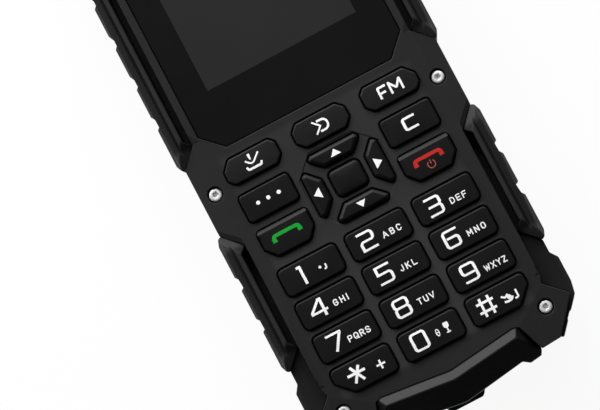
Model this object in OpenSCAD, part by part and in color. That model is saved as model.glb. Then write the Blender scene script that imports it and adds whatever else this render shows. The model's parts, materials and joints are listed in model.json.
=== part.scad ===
// Rugged feature phone, lying on its back.
// Millimetres. X across, Y along with the display end at +Y, Z up through the front face, back face at Z 0.

/* [Body] */
// Length over the end bumpers
body_l = 148; // [147:0.5:154]
// Width over the side bumpers
body_w = 63.6; // [63.4:0.2:67.4]
// Thickness from the back to the bumper ridges
body_t = 18.8; // [18.6:0.1:20]
// Height of the bumper ridges above the front face
ridge_h = 1.2; // [0.8:0.1:1.4]
// Height of the joint between the two case halves
split_h = 11; // [10.8:0.1:11.2]
// Thickness of the front cover's face
cover_wall = 1.6; // [1.4:0.1:1.7]
// Width of the case wall round the cavity, at face level
side_wall = 2.4; // [2.3:0.1:2.5]
// Thickness of the back wall under the end pockets
back_wall = 2; // [1.8:0.1:2.4]
// Distance of the cavity from the bottom end
cavity_bottom = 12; // [11.8:0.1:12.4]
// Distance of the cavity from the top end
cavity_top = 9.4; // [9.2:0.1:9.8]
// Width of the rising edge strip beside the keypad
strip_w = 1.3; // [1.1:0.1:1.5]
// Rise of that strip at its outer edge
strip_rise = 0.35; // [0.2:0.05:0.45]
// Upper end of that strip from the bottom end
strip_l = 40; // [38:0.5:41]
// Cavity corner cut at the bottom
cavity_cut_b = 4.5; // [4.2:0.1:5]
// Cavity corner cut at the top
cavity_cut_t = 6.8; // [6.4:0.1:7.4]

/* [Side bumpers] */
// Thickness of a side bumper
bumper_t = 3.8; // [3.4:0.1:4]
// Width of the channel between bumper and face
channel_w = 1.6; // [1.3:0.1:1.7]
// Depth of the channel under the face
channel_d = 4.1; // [3.6:0.1:4.6]
// Step in from the bumpers to the bare waist
waist_in = 1.3; // [1.1:0.1:1.7]
// Length of the bare waist
waist_l = 16; // [15:0.2:18]
// Waist centre below the soft key row
waist_below = 2.9; // [2:0.1:4]
// Fall of the waist shoulder to its edge
waist_drop = 0.9; // [0.5:0.1:1.1]
// Depth of the groove between the waist's face and the lower bumper's ramp
groove_d = 0.92; // [0.8:0.02:1]
// Tilt of that groove's upper wall
groove_tilt = 32; // [28:1:38]
// Flat width of the ridge
ridge_w = 0.9; // [0.7:0.1:1.2]
// Depth of the step beside the ridge
ridge_step = 0.4; // [0.3:0.05:0.6]
// Depth of the groove between the ridge and the ribs
ridge_groove = 1.1; // [0.9:0.1:1.3]
// Width of that groove
ridge_groove_w = 0.9; // [0.8:0.05:1]
// Fall of the bumper's top from the ridge to its outer edge
outer_fall = 0.5; // [0.3:0.1:0.7]
// Underside of the bumpers above the back
foot_h = 0.5; // [0.3:0.1:0.9]
// Bumper end to body end, along the side
guard_l = 23.9; // [23:0.1:25]
// Spacing of the rib notches
rib_pitch = 10; // [9:0.1:11]
// Width of a rib notch at its mouth
rib_w = 3; // [2.4:0.1:3.2]
// Depth of a rib notch
rib_d = 0.7; // [0.4:0.1:0.9]
// First notch above the waist
rib_up = 12.4; // [11:0.1:13]
// First notch below the waist
rib_low = 10.9; // [10:0.1:12]
// Length of the ramp that faces the display end
ramp_up = 2; // [1.6:0.1:2.4]
// Length of the ramp that faces the keypad end
ramp_down = 2.6; // [2.2:0.1:3]

/* [End bumpers] */
// Lip of the bottom bumper from the bottom end
lip_b = 8.4; // [8.2:0.1:9]
// Lip of the top bumper from the top end
lip_t = 5.4; // [5.2:0.1:5.8]
// Half length of a lip
lip_half = 15.8; // [15.2:0.1:16.2]
// Rise of the lip's vee over its half length
lip_rise = 1.8; // [1.4:0.1:1.9]
// Width of the lip's inner slope
lip_slope = 2; // [1.8:0.1:2.4]
// Flat width on top of the lip
lip_flat = 0.25; // [0.2:0.05:0.7]
// Seat of an end bumper behind its lip
seat_in = 2.6; // [2.2:0.1:2.8]
// Bottom bumper's face from the bottom end
bottom_out = 0.7; // [0.5:0.1:1]
// Taper of an end bumper's face over its half length
end_taper = 2.1; // [1.6:0.1:2.4]
// Half width where an end bumper meets the corner
lobe_x = 19.5; // [19.2:0.1:20]
// Corner of the case from the end
lobe_end = 3.5; // [3.3:0.1:4]
// Fall of the corner face towards the corner
lobe_tilt = 5; // [3:0.5:7]
// Corner facet, across
lobe_w = 6.4; // [6:0.1:6.8]
// Corner facet's far end from the end of the phone
lobe_l = 11; // [10.6:0.1:11.4]
// Start of the face's taper from the end of the phone
hip_l = 17.4; // [17:0.1:17.8]
// Chamfer at the end of a lip
lip_end = 1.4; // [1.2:0.1:1.6]

/* [Display] */
// Width of the rim beside the lens
rim_w = 1.8; // [1.6:0.1:2]
// Rise of that rim at its outer edge
rim_rise = 0.45; // [0.2:0.05:0.6]
// Lens thickness
lens_t = 1.2; // [1:0.1:1.3]
// Lens face below the cover's face
lens_in = 0.3; // [0.2:0.05:0.4]
// Clearance round the lens
lens_gap = 0.12; // [0.08:0.02:0.2]
// Lens above the soft key row
lens_above = 5.6; // [5.4:0.1:6]
// Lens from the top end
lens_top = 8.6; // [8.5:0.1:8.8]
// Lens corner cut at the keypad end
lens_cut_b = 4.6; // [4:0.1:5]
// Lens corner cut at the display end
lens_cut_t = 7; // [6.8:0.1:7.6]
// Wall between the key pocket and the lens
lens_wall = 1.48; // [1.4:0.02:1.56]
// Ear slot in from the top edge of the lens
ear_in = 2.1; // [2:0.05:2.2]
// Half length of the ear slot
ear_half = 5.5; // [5:0.1:5.6]
// Width of the ear slot
ear_w = 1; // [0.8:0.1:1.1]
// Bevel of the lens edge
lens_bevel = 0.3; // [0.2:0.05:0.4]
// Gasket thickness
gasket_t = 0.2; // [0.15:0.05:0.3]
// Width of the ledge under the lens
ledge_w = 1.4; // [1.3:0.1:1.6]
// Thickness of that ledge
ledge_t = 1; // [0.9:0.1:1.1]
// Lens border beside the picture
picture_side = 6.24; // [6:0.02:6.6]
// Lens border above the picture
picture_down = 4.64; // [4.6:0.02:5]
// Picture above the lens edge
picture_up = 12.6; // [12.4:0.1:13]
// Module border beside the picture
module_side = 3; // [2.4:0.1:3]
// Module border above the picture
module_top = 1.2; // [0.8:0.1:1.2]
// Module border below the picture
module_foot = 8.4; // [7:0.1:8.6]
// Corner cut of the module and its frame at the display end
module_cut = 3; // [2.9:0.1:3.6]
// Module thickness
module_t = 2.4; // [2:0.1:2.6]
// Air gap under the lens
module_gap = 0.2; // [0.1:0.05:0.3]

/* [Keys] */
// Outer edge of the number and soft keys in from the face edge
key_side = 3.3; // [3.3:0.05:3.6]
// Space between the columns of number keys
col_gap = 2.4; // [2.3:0.05:2.7]
// Row pitch of the number keys
row_pitch = 8.05; // [7.9:0.05:8.1]
// Bottom row above the bottom end
keypad_rise = 16.85; // [16.7:0.05:17.2]
// Number key height
digit_h = 6.3; // [5.8:0.1:6.4]
// Corner cut of the star and hash keys
digit_cut = 3.4; // [2.5:0.1:3.8]
// Corner radius of the number keys
digit_r = 1.1; // [0.7:0.1:1.3]
// Pad centre above the first number row
nav_rise = 13.85; // [13.7:0.05:14.2]
// Soft key row above the pad centre
soft_rise = 12.75; // [12.6:0.05:13.2]
// Space between the keys of the soft key row
soft_gap = 4.05; // [3.8:0.05:4.5]
// Soft key height
soft_h = 5.6; // [5.2:0.1:5.8]
// Outer edge of the menu, clear and call keys in from the face edge
menu_side = 3.4; // [3.35:0.05:3.6]
// Space between those keys and the pad
nav_gap = 2.2; // [2.1:0.05:2.6]
// Menu and clear key height
menu_h = 6.3; // [5.8:0.1:6.4]
// Menu and clear keys above the pad centre
menu_up = 4.2; // [4:0.05:4.4]
// Call and end key height
call_h = 6.6; // [6:0.1:6.8]
// Call and end keys below the pad centre
call_down = 4.55; // [4.4:0.05:4.6]
// Lower corner cut of the call and end keys
call_cut = 2.1; // [1.6:0.1:2.4]
// Corner radius of the menu, call and soft keys
menu_r = 0.8; // [0.5:0.1:1]
// Width of the OK key
ok_w = 7.2; // [6.6:0.1:7.3]
// Height of the OK key
ok_h = 6; // [5.4:0.1:6]
// Inner edge of the up and down keys from the pad centre
nav_in_v = 4.45; // [4.4:0.05:4.6]
// Outer edge of the up and down keys
nav_out_v = 8; // [7.8:0.05:8.1]
// Half width of the up and down keys
nav_half_v = 6.15; // [5.8:0.05:6.2]
// Half of their inner edge
nav_core_v = 3.4; // [3:0.05:3.6]
// Inner edge of the left and right keys from the pad centre
nav_in_h = 5.3; // [5.25:0.05:5.5]
// Outer edge of the left and right keys
nav_out_h = 9; // [8.8:0.05:9.05]
// Half height of the left and right keys
nav_half_h = 5.3; // [5:0.05:5.4]
// Half of their inner edge
nav_core_h = 2.4; // [2.1:0.05:2.6]
// Corner cut of the pad keys
nav_cut = 0.95; // [0.7:0.05:1.1]
// Depth of the recess round the pad
pad_d = 0.15; // [0.1:0.05:0.4]
// Edge of that recess beyond the pad keys
pad_edge = 0.8; // [0.7:0.05:0.9]
// Height of the key tops above the face
key_rise = 0.9; // [0.6:0.05:1]
// Gap round a key
key_gap = 0.35; // [0.25:0.05:0.4]
// Flange under the cover, beyond the key
key_lip = 0.6; // [0.5:0.05:0.65]
// Flange thickness
key_lip_t = 0.8; // [0.6:0.1:0.8]
// Play of the flange under the cover
key_play = 0.1; // [0.05:0.05:0.15]
// Key travel
key_travel = 0.4; // [0.3:0.05:0.45]
// Width of the key stem
stem_w = 2.6; // [2.2:0.1:3]
// Clearance round a stem
stem_gap = 0.35; // [0.3:0.05:0.5]

/* [Inside] */
// Main board thickness
board_t = 1; // [0.8:0.1:1.1]
// Board face below the case joint
board_in = 0.2; // [0.1:0.05:0.3]
// Clearance between the board and the case
board_gap = 0.3; // [0.2:0.05:0.4]
// Thickness of the dome film
film_t = 0.1; // [0.08:0.01:0.15]
// Height of a snap dome
dome_h = 0.35; // [0.3:0.05:0.4]
// Base radius of a snap dome
dome_r = 1.9; // [1.6:0.1:2.2]
// Gap between a stem and its dome
dome_gap = 0.05; // [0.03:0.01:0.1]
// Thickness of the keypad mat
mat_t = 0.6; // [0.5:0.1:0.8]
// Room under the key flanges at full travel
mat_room = 0.3; // [0.25:0.05:0.4]
// Shield can height
shield_h = 1.7; // [1.4:0.1:1.7]
// Case wall beside the battery cover
lid_side = 2.75; // [2.6:0.05:3.4]
// Battery length
battery_l = 58; // [54:0.5:58]
// Battery thickness
battery_t = 4.6; // [4.2:0.1:4.7]
// Clearance round the battery
battery_gap = 0.25; // [0.15:0.05:0.3]
// Battery bay from the bottom end
bay_rise = 30; // [29.8:0.1:30.6]
// Length of the bay beyond the battery
bay_extra = 12.4; // [12.2:0.1:13]
// Wall between the bay and the board
mid_wall = 1; // [0.9:0.1:1.1]
// Battery cover thickness
lid_t = 1.2; // [1:0.1:1.3]
// Battery cover below the back face
lid_in = 0.2; // [0.1:0.05:0.3]
// Clearance round the battery cover
lid_gap = 0.15; // [0.1:0.05:0.25]
// Ledge round the bay
lid_ledge = 2; // [1.8:0.1:2.2]
// Length of the screw flap of the battery cover
lid_flap = 6.4; // [6:0.1:6.6]
// Wall between the battery cover and the end pockets
lid_wall = 1.2; // [1.1:0.1:1.4]
// Length of the cover's corner cuts at the keypad end
lid_cut = 4; // [3.4:0.1:4.4]
// Half length of the grip ribs
grip_half = 14; // [12:0.5:15]
// Spacing of the grip ribs
grip_pitch = 3; // [2.6:0.1:3.4]
// Width of a grip groove
grip_w = 0.8; // [0.6:0.1:1]
// Depth of a grip groove
grip_d = 0.3; // [0.2:0.05:0.4]
// Camera above the upper pocket's edge
camera_up = 14; // [13.6:0.2:14.4]
// Camera module width
camera_w = 9; // [8:0.1:9.2]
// Camera module height
camera_t = 4.2; // [4:0.1:4.4]
// Camera barrel diameter
barrel_d = 5.6; // [5:0.1:5.8]
// Camera window diameter
window_d = 8.8; // [8:0.1:9]
// Torch lens diameter
torch_d = 4.2; // [3.8:0.1:4.4]
// Torch from the camera
torch_x = 11; // [10:0.1:12]
// Clearance round the windows of the back
window_gap = 0.1; // [0.05:0.05:0.15]
// Loudspeaker width
speaker_w = 15.5; // [15:0.1:16]
// Loudspeaker height
speaker_t = 3.8; // [3.4:0.1:4]
// Spacing of the loudspeaker slots
slot_pitch = 2.6; // [2.4:0.1:2.8]
// Width of a loudspeaker slot
slot_w = 1.2; // [1:0.1:1.4]
// Vibration motor height
motor_t = 2.8; // [2.6:0.1:3.2]
// Microphone width
mic_w = 4; // [3.4:0.1:4.2]
// Microphone from the middle
mic_x = 13; // [12.6:0.1:13.4]
// Microphone hole diameter
mic_hole = 1.2; // [1:0.1:1.3]
// Height of the microphone hole above the back
mic_z = 8.4; // [8.2:0.1:8.6]
// Earpiece height
ear_t = 2.3; // [2:0.1:2.4]
// Antenna width
antenna_w = 28; // [24:0.5:30]
// Antenna length
antenna_l = 5.5; // [5:0.1:6]
// Antenna height
antenna_t = 3; // [2.6:0.1:3]
// Card holder width
sim_w = 16; // [15:0.1:17]
// Card holder length
sim_l = 10.2; // [10:0.1:10.4]
// Card holder height
sim_t = 1.6; // [1.4:0.1:1.8]
// Spacing of the battery contacts
contact_pitch = 3; // [2.6:0.1:3.2]
// Width of a battery contact
contact_w = 1.6; // [1.4:0.1:1.8]
// Edge of the shield cans from the middle
shield_half = 20; // [19:0.1:20.2]
// Lowest shield can above the bottom end
shield_up = 36; // [35.6:0.1:36.4]
// Length of a shield can
shield_l = 22; // [20:0.5:22]
// Width of the charging socket
socket_w = 9; // [8.6:0.1:9]
// Height of the charging socket
socket_h = 3.2; // [2.8:0.1:3.2]
// Clearance round the charging socket
socket_gap = 0.25; // [0.2:0.05:0.3]
// Mouth of the charging socket from the bottom end
socket_in = 6.2; // [6:0.1:6.4]
// Wall thickness of the charging socket
socket_wall = 0.35; // [0.3:0.05:0.45]

/* [Fasteners] */
// Screw head diameter
head_d = 2.9; // [2.6:0.1:3]
// Screw head height
head_h = 1.3; // [1.1:0.1:1.4]
// Screw head below the face
head_in = 0.45; // [0.4:0.05:0.6]
// Clearance round a screw head
head_gap = 0.3; // [0.25:0.05:0.35]
// Screw shank diameter
shank_d = 1.6; // [1.4:0.1:1.7]
// Clearance round a shank
shank_gap = 0.1; // [0.05:0.05:0.15]
// Height of a screw's tip above the back
shank_low = 4.6; // [4.2:0.1:5.4]
// Waist screws in from the waist edge
waist_screw_in = 3.45; // [3.4:0.05:3.6]
// Waist screws above the waist centre
waist_screw_up = 0.4; // [0:0.1:0.8]
// Corner screws from the end
corner_screw_in = 11; // [10.8:0.1:11.2]
// Corner screws in from the face edge
corner_screw_side = 2.15; // [2:0.05:2.3]
// Tip of a cover screw above the back
lid_shank = 5; // [4.4:0.1:5.2]
// Distance of a cover screw from the middle
lid_screw_x = 18; // [15:0.5:20]

/* [Port] */
// Half width of the port flap
flap_half = 6.2; // [6:0.1:6.8]
// Height of the port flap
flap_h = 6.8; // [6.4:0.1:6.9]
// Lower edge of the port flap above the back
flap_low = 4.6; // [4.4:0.1:4.7]
// Flap face in from the bottom end
flap_in = 1.5; // [1.4:0.1:1.6]
// Thickness of the port flap
flap_t = 1.6; // [1.4:0.1:1.7]
// Clearance round the port flap
flap_gap = 0.3; // [0.25:0.05:0.35]
// Diameter of the flap's hinge barrel
hinge_d = 1.2; // [1:0.1:1.4]
// Clearance round that barrel in the bumper
hinge_gap = 0.25; // [0.2:0.05:0.3]
// Length of the barrel's ends in the bumper
hinge_end = 0.6; // [0.4:0.1:0.8]
// Half width of the flap's pull tab
tab_half = 4.1; // [3.6:0.1:4.4]

/* [Hidden] */
$fn = 32;
eps = 0.01;
cover_col = [0.16, 0.17, 0.18];
black_col = [0.06, 0.06, 0.065];
key_col = [0.1, 0.1, 0.11];
steel_col = [0.75, 0.76, 0.78];
board_col = [0.05, 0.3, 0.16];
rubber_col = [0.2, 0.2, 0.22];

// Levels
face_z = body_t - ridge_h;
roof_z = face_z - cover_wall;
chan_z = face_z - channel_d;
ledge_z = face_z - lens_in - lens_t - gasket_t;
board_z1 = split_h - board_in;
board_z0 = board_z1 - board_t;
lid_seat = lid_in + lid_t + 0.1;
battery_z = lid_seat + battery_gap;
mid_z0 = battery_z + battery_t + battery_gap;
mid_z1 = mid_z0 + mid_wall;
lip_z1 = roof_z - key_play;
lip_z0 = lip_z1 - key_lip_t;
mat_z1 = lip_z0 - key_travel - mat_room;
stem_z0 = board_z1 + film_t + dome_h + dome_gap;
key_z1 = face_z + key_rise;
module_z1 = ledge_z + gasket_t - module_gap;
module_z0 = module_z1 - module_t;
head_z1 = face_z - head_in;
head_z0 = head_z1 - head_h;
socket_z0 = board_z0 - socket_h;

// Across
side = body_w / 2;
belt = side - bumper_t;
face = belt - channel_w;
waist = side - waist_in;
shoulder = waist - face;
waist_lean = waist_drop / shoulder / sqrt(2);
cav = face - side_wall;
lens_half = face - rim_w;
picture_w = 2 * (lens_half - picture_side);
digit_w = (2 * (face - key_side) - 2 * col_gap) / 3;
col_pitch = digit_w + col_gap;
soft_w = (2 * (face - key_side) - 2 * soft_gap) / 3;
soft_x = soft_w + soft_gap;
menu_w = face - menu_side - nav_out_h - nav_gap;
menu_x = face - menu_side - menu_w / 2;
battery_w = 2 * (belt - lid_side - lid_ledge - battery_gap);
corner_screw_x = face - corner_screw_side;

// Along
y0 = -body_l / 2;
y1 = body_l / 2;
row_y = [for (i = [0:3]) y0 + keypad_rise + (3 - i) * row_pitch];
nav_y = row_y[0] + nav_rise;
soft_y = nav_y + soft_rise;
menu_y = nav_y + menu_up;
call_y = nav_y - call_down;
waist_y = soft_y - waist_below;
waist_y0 = waist_y - waist_l / 2;
waist_y1 = waist_y + waist_l / 2;
lens_y0 = soft_y + lens_above;
lens_y1 = y1 - lens_top;
picture_y0 = lens_y0 + picture_up;
picture_l = lens_y1 - picture_down - picture_y0;
module_y0 = picture_y0 - module_foot;
module_y1 = picture_y0 + picture_l + module_top;
cav_y0 = y0 + cavity_bottom;
cav_y1 = y1 - cavity_top;
pocket_y1 = lens_y0 - lens_gap - lens_wall;
bay_y0 = y0 + bay_rise;
bay_y1 = bay_y0 + battery_l + bay_extra;
lid_y0 = bay_y0 - lid_flap;
lid_y1 = bay_y1 + lid_ledge;
end_pocket_y = lid_y0 - lid_wall;
top_pocket_y = lid_y1 + lid_wall;
lid_screw_y = bay_y0 - lid_flap / 2;
ear_y = lens_y1 - ear_in;
camera_y = top_pocket_y + camera_up;
speaker_x0 = -cav + cavity_cut_b + 0.5;
speaker_x1 = speaker_x0 + speaker_w;
motor_d = end_pocket_y - cav_y0 - 2.4;

// Plane geometry
function unit(v) = v / norm(v);
function spin(v, a) = [v[0] * cos(a) - v[1] * sin(a), v[0] * sin(a) + v[1] * cos(a)];
function shift(p, v) = [for (q = p) q + v];
function turned(p, a) = [for (q = p) spin(q, a)];
// Point where the line through a and b meets the line through c and d
function meet(a, b, c, d) = let (u = b - a, v = d - c, w = c - a,
    k = (w[0] * v[1] - w[1] * v[0]) / (u[0] * v[1] - u[1] * v[0])) a + k * u;
// Outline moved in by d; corners stay sharp
function inset(p, d) = [for (i = [0:len(p) - 1]) let (n = len(p),
    u = unit(p[i] - p[(i + n - 1) % n]), v = unit(p[(i + 1) % n] - p[i]),
    s = [-u[1], u[0]], t = [-v[1], v[0]]) p[i] + d * (s + t) / (1 + s * t)];
// Outline with every corner rounded to radius r
function rounded(p, r, n = 4) = [for (i = [0:len(p) - 1]) let (m = len(p),
    u = unit(p[i] - p[(i + m - 1) % m]), v = unit(p[(i + 1) % m] - p[i]),
    a = acos(min(1, max(-1, u * v))), s = [-u[1], u[0]], c = p[i] - u * r * tan(a / 2) + s * r)
    for (k = [0:n]) c - r * spin(s, a * k / n)];
// Rectangle with its corners cut: bl, br, tr and tl are [across, along]
function cut_rect(w, h, bl = [0, 0], br = [0, 0], tr = [0, 0], tl = [0, 0]) = concat(
    bl[0] > 0 ? [[-w / 2, -h / 2 + bl[1]], [-w / 2 + bl[0], -h / 2]] : [[-w / 2, -h / 2]],
    br[0] > 0 ? [[w / 2 - br[0], -h / 2], [w / 2, -h / 2 + br[1]]] : [[w / 2, -h / 2]],
    tr[0] > 0 ? [[w / 2, h / 2 - tr[1]], [w / 2 - tr[0], h / 2]] : [[w / 2, h / 2]],
    tl[0] > 0 ? [[-w / 2 + tl[0], h / 2], [-w / 2, h / 2 - tl[1]]] : [[-w / 2, h / 2]]);
function flipped(p) = [for (i = [len(p) - 1:-1:0]) [-p[i][0], p[i][1]]];
// Closed outline from its right half, which runs from the bottom to the top
function both(p) = concat(p, flipped(p));

// Case outlines, right half from the bottom to the top
function corner(s, lip) = [
    [lip_half, s * (y1 - lip - lip_rise)],
    [lip_half + lip_end, s * (y1 - lip - lip_rise + 0.5)],
    [lobe_x, s * (y1 - lobe_end)],
    [waist - lobe_w, s * (y1 - lobe_end - 0.3)],
    [waist - 0.4, s * (y1 - lobe_l)],
    [waist - 0.4, s * (y1 - lobe_l - 0.5)],
    [face - 0.7, s * (y1 - hip_l + 1.6)],
    [face, s * (y1 - hip_l)]];
function backward(p) = [for (i = [len(p) - 1:-1:0]) p[i]];
wing = [[face, waist_y0 - shoulder], [waist, waist_y0], [waist, waist_y1], [face, waist_y1 + shoulder]];
function at_belt(a, b) = meet(a, b, [belt, y0], [belt, y1]);
low = corner(-1, lip_b);
high = corner(1, lip_t);
face_plan = both(concat([[0, y0 + lip_b]], low, wing, backward(high), [[0, y1 - lip_t]]));
low_v = [0, y0 + lip_b - seat_in];
high_v = [0, y1 - lip_t + seat_in];
vee = [lip_half, lip_rise];
belt_plan = both(concat(
    [low_v, meet(low_v, low_v + vee, low[1], low[2])],
    [low[2], low[3], low[4], low[5], at_belt(low[5], low[6])],
    [at_belt(wing[0], wing[1]), wing[1], wing[2], at_belt(wing[2], wing[3])],
    [at_belt(high[5], high[6]), high[5], high[4], high[3], high[2]],
    [meet(high_v, high_v + [lip_half, -lip_rise], high[1], high[2]), high_v]));
function cavity_part(a, b, ca, cb) = shift(
    cut_rect(2 * cav, b - a, [ca, ca], [ca, ca], [cb, cb], [cb, cb]), [0, (a + b) / 2]);
cav_plan = cavity_part(cav_y0, cav_y1, cavity_cut_b, cavity_cut_t);
pocket_plan = cavity_part(cav_y0, pocket_y1, cavity_cut_b, 0);
end_pocket_plan = cavity_part(cav_y0, end_pocket_y, cavity_cut_b, 0);
top_pocket_plan = cavity_part(top_pocket_y, cav_y1, 0, cavity_cut_t);
lens_plan = shift(cut_rect(2 * lens_half, lens_y1 - lens_y0, [lens_cut_b, lens_cut_b],
    [lens_cut_b, lens_cut_b],
    [lens_cut_t, lens_cut_t], [lens_cut_t, lens_cut_t]), [0, (lens_y0 + lens_y1) / 2]);
bay_half = battery_w / 2 + battery_gap;
lid_half = bay_half + lid_ledge;
lid_plan = shift(cut_rect(2 * lid_half, lid_y1 - lid_y0, [lid_cut, lid_cut], [lid_cut, lid_cut], [3, 3],
    [3, 3]),
    [0, (lid_y0 + lid_y1) / 2]);
screw_at = [for (s = [-1, 1]) each [
    [s * (waist - waist_screw_in), waist_y + waist_screw_up],
    [s * corner_screw_x, y0 + corner_screw_in], [s * corner_screw_x, y1 - corner_screw_in]]];

// Key outlines
soft_left_plan = cut_rect(soft_w, soft_h, [1.3, 1.3], [1.5, 1.5], [1.2, 1.2], [2, 2.2]);
top_plan = cut_rect(soft_w, soft_h, [1.6, 1.6], [1.6, 1.6], [1.6, 1.6], [1.6, 1.6]);
menu_plan = cut_rect(menu_w, menu_h);
call_plan = cut_rect(menu_w, call_h, [call_cut, call_cut + 0.3], [call_cut, call_cut + 0.3]);
num_plan = cut_rect(digit_w, digit_h);
star_plan = cut_rect(digit_w, digit_h, [digit_cut, digit_cut]);
ok_plan = cut_rect(ok_w, ok_h);
function nav_plan(in, out, half, core) = [[in, -core], [out - nav_cut, -half], [out, -half + 0.8 * nav_cut],
    [out, half - 0.8 * nav_cut], [out - nav_cut, half], [in, core]];
nav_side_plan = nav_plan(nav_in_h, nav_out_h, nav_half_h, nav_core_h);
nav_end_plan = nav_plan(nav_in_v, nav_out_v, nav_half_v, nav_core_v);
pad_at = [0, nav_y];
function num_at(c, r) = [(c - 1) * col_pitch, row_y[r]];
function num_outline(c, r) = r < 3 || c == 1 ? num_plan : c == 0 ? star_plan : flipped(star_plan);
// Each key's outline, corner radius and stem
key_rows = concat(
    [for (r = [0:3], c = [0:2]) [shift(num_outline(c, r), num_at(c, r)), digit_r, num_at(c, r)]],
    [for (s = [-1, 1]) each [
        [shift(s < 0 ? soft_left_plan : flipped(soft_left_plan), [s * soft_x, soft_y]), menu_r,
            [s * soft_x, soft_y]],
        [shift(menu_plan, [s * menu_x, menu_y]), menu_r, [s * menu_x, menu_y]],
        [shift(call_plan, [s * menu_x, call_y]), menu_r, [s * menu_x, call_y]],
        [shift(turned(nav_side_plan, s < 0 ? 180 : 0), pad_at), 0.5,
            pad_at + [s * (nav_in_h + nav_out_h) / 2, 0]],
        [shift(turned(nav_end_plan, s * 90), pad_at), 0.5, pad_at + [0, s * (nav_in_v + nav_out_v) / 2]]]],
    [[shift(top_plan, [0, soft_y]), menu_r, [0, soft_y]], [shift(ok_plan, pad_at), digit_r, pad_at]]);

// Solid helpers
module slab(p, a, b) translate([0, 0, a]) linear_extrude(height = b - a) polygon(p);
module frame_slab(p, q, a, b) difference() {
    slab(p, a, b);
    slab(q, a - 1, b + 1);
}
module box(x, y, z) translate([x[0], y[0], z[0]]) cube([x[1] - x[0], y[1] - y[0], z[1] - z[0]]);
module pin(d, at, a, b) translate([at[0], at[1], a]) cylinder(h = b - a, d = d);
// Profile in X and Z, drawn along Y
module along(p) rotate([90, 0, 0]) linear_extrude(height = 2 * body_l, center = true) polygon(p);
// Everything above a slope that rises by angle t towards bearing az from the point p
module above(p, az, t, w = 40) translate(p) rotate([0, 0, az]) rotate([0, -t, 0])
    translate([-30, -w / 2, 0])
    cube([60, w, 30]);
// Everything below such a slope
module below(p, az, t, w = 40) translate(p) rotate([0, 0, az]) rotate([0, -t, 0])
    translate([-30, -w / 2, -30])
    cube([120, w, 30]);
module pair() {
    children();
    mirror([1, 0, 0]) children();
}
// Stack of outlines with equal point counts, each [outline, height]
module loft(rings) {
    n = len(rings[0][0]);
    polyhedron(
        points = [for (r = rings) each [for (q = r[0]) [q[0], q[1], r[1]]]],
        faces = concat([[for (i = [0:n - 1]) i]],
            [for (j = [0:len(rings) - 2], i = [0:n - 1])
                [j * n + i, (j + 1) * n + i, (j + 1) * n + (i + 1) % n, j * n + (i + 1) % n]],
            [[for (i = [n - 1:-1:0]) (len(rings) - 1) * n + i]]));
}
function ring(p, d, r) = rounded(inset(p, d), max(r - d, 0.15));

// Case
module front_cover() color(cover_col) difference() {
    union() {
        slab(face_plan, split_h, face_z);
        slab(belt_plan, split_h, chan_z);
        pair() intersection() {
            along([[lens_half + lens_gap, face_z - 0.5], [face, face_z - 0.5], [face, face_z + rim_rise],
                [lens_half + lens_gap, face_z]]);
            box([0, body_w], [waist_y1 + shoulder + 0.3, y1 - hip_l - 0.4], [split_h, body_t]);
            below([0, waist_y1 + shoulder + 0.1, face_z], 90, 10, 4 * body_w);
            below([0, y1 - hip_l - 0.2, face_z], -90, 10, 4 * body_w);
        }
        pair() intersection() {
            along([[face - strip_w, face_z - 0.5], [face, face_z - 0.5], [face, face_z + strip_rise],
                [face - strip_w, face_z]]);
            box([0, body_w], [y0 + hip_l + 0.4, y0 + strip_l], [split_h, body_t]);
            below([0, y0 + strip_l, face_z], -90, 1.5, 4 * body_w);
            below([0, y0 + hip_l + 0.25, face_z], 90, 14, 4 * body_w);
        }
    }
    slab(cav_plan, split_h - 1, ledge_z - ledge_t);
    slab(pocket_plan, split_h - 1, roof_z);
    slab(inset(lens_plan, ledge_w), split_h, body_t);
    slab(inset(lens_plan, -lens_gap), ledge_z, body_t + 1);
    box([-ear_half - 0.4, ear_half + 0.4], [ear_y, ear_y + 2.3], [split_h, ledge_z + eps]);
    for (k = key_rows) slab(rounded(inset(k[0], -key_gap), k[1] + key_gap), split_h, body_t + 1);
    slab(shift(cut_rect(2 * (nav_out_h + pad_edge), 2 * (nav_out_v + pad_edge), [4.6, 4.6], [4.6, 4.6],
        [4.6, 4.6],
        [4.6, 4.6]), pad_at), face_z - pad_d, body_t);
    for (p = screw_at) {
        pin(shank_d + 2 * shank_gap, p, split_h - 1, body_t);
        pin(head_d + 2 * head_gap, p, head_z0, body_t);
    }
    pair() {
        above([face + 0.05, waist_y, face_z], 180, atan(waist_drop / shoulder),
            waist_l + 2 * shoulder + 0.4);
        intersection() {
            above([face + shoulder / 2, waist_y0 - shoulder / 2, face_z - groove_d],
                135 + atan(waist_lean / tan(groove_tilt)), atan(norm([waist_lean, tan(groove_tilt)])));
            box([face + 0.05, side], [waist_y0 - shoulder - 1, waist_y0 + 5], [split_h, body_t]);
        }
        lobe_face();
        mirror([0, 1, 0]) lobe_face();
    }
}
module lobe_face() above([(face + lip_half) / 2 + 0.35, y0 + lobe_l + 1.7, face_z], 125.5, lobe_tilt, 16);
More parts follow.
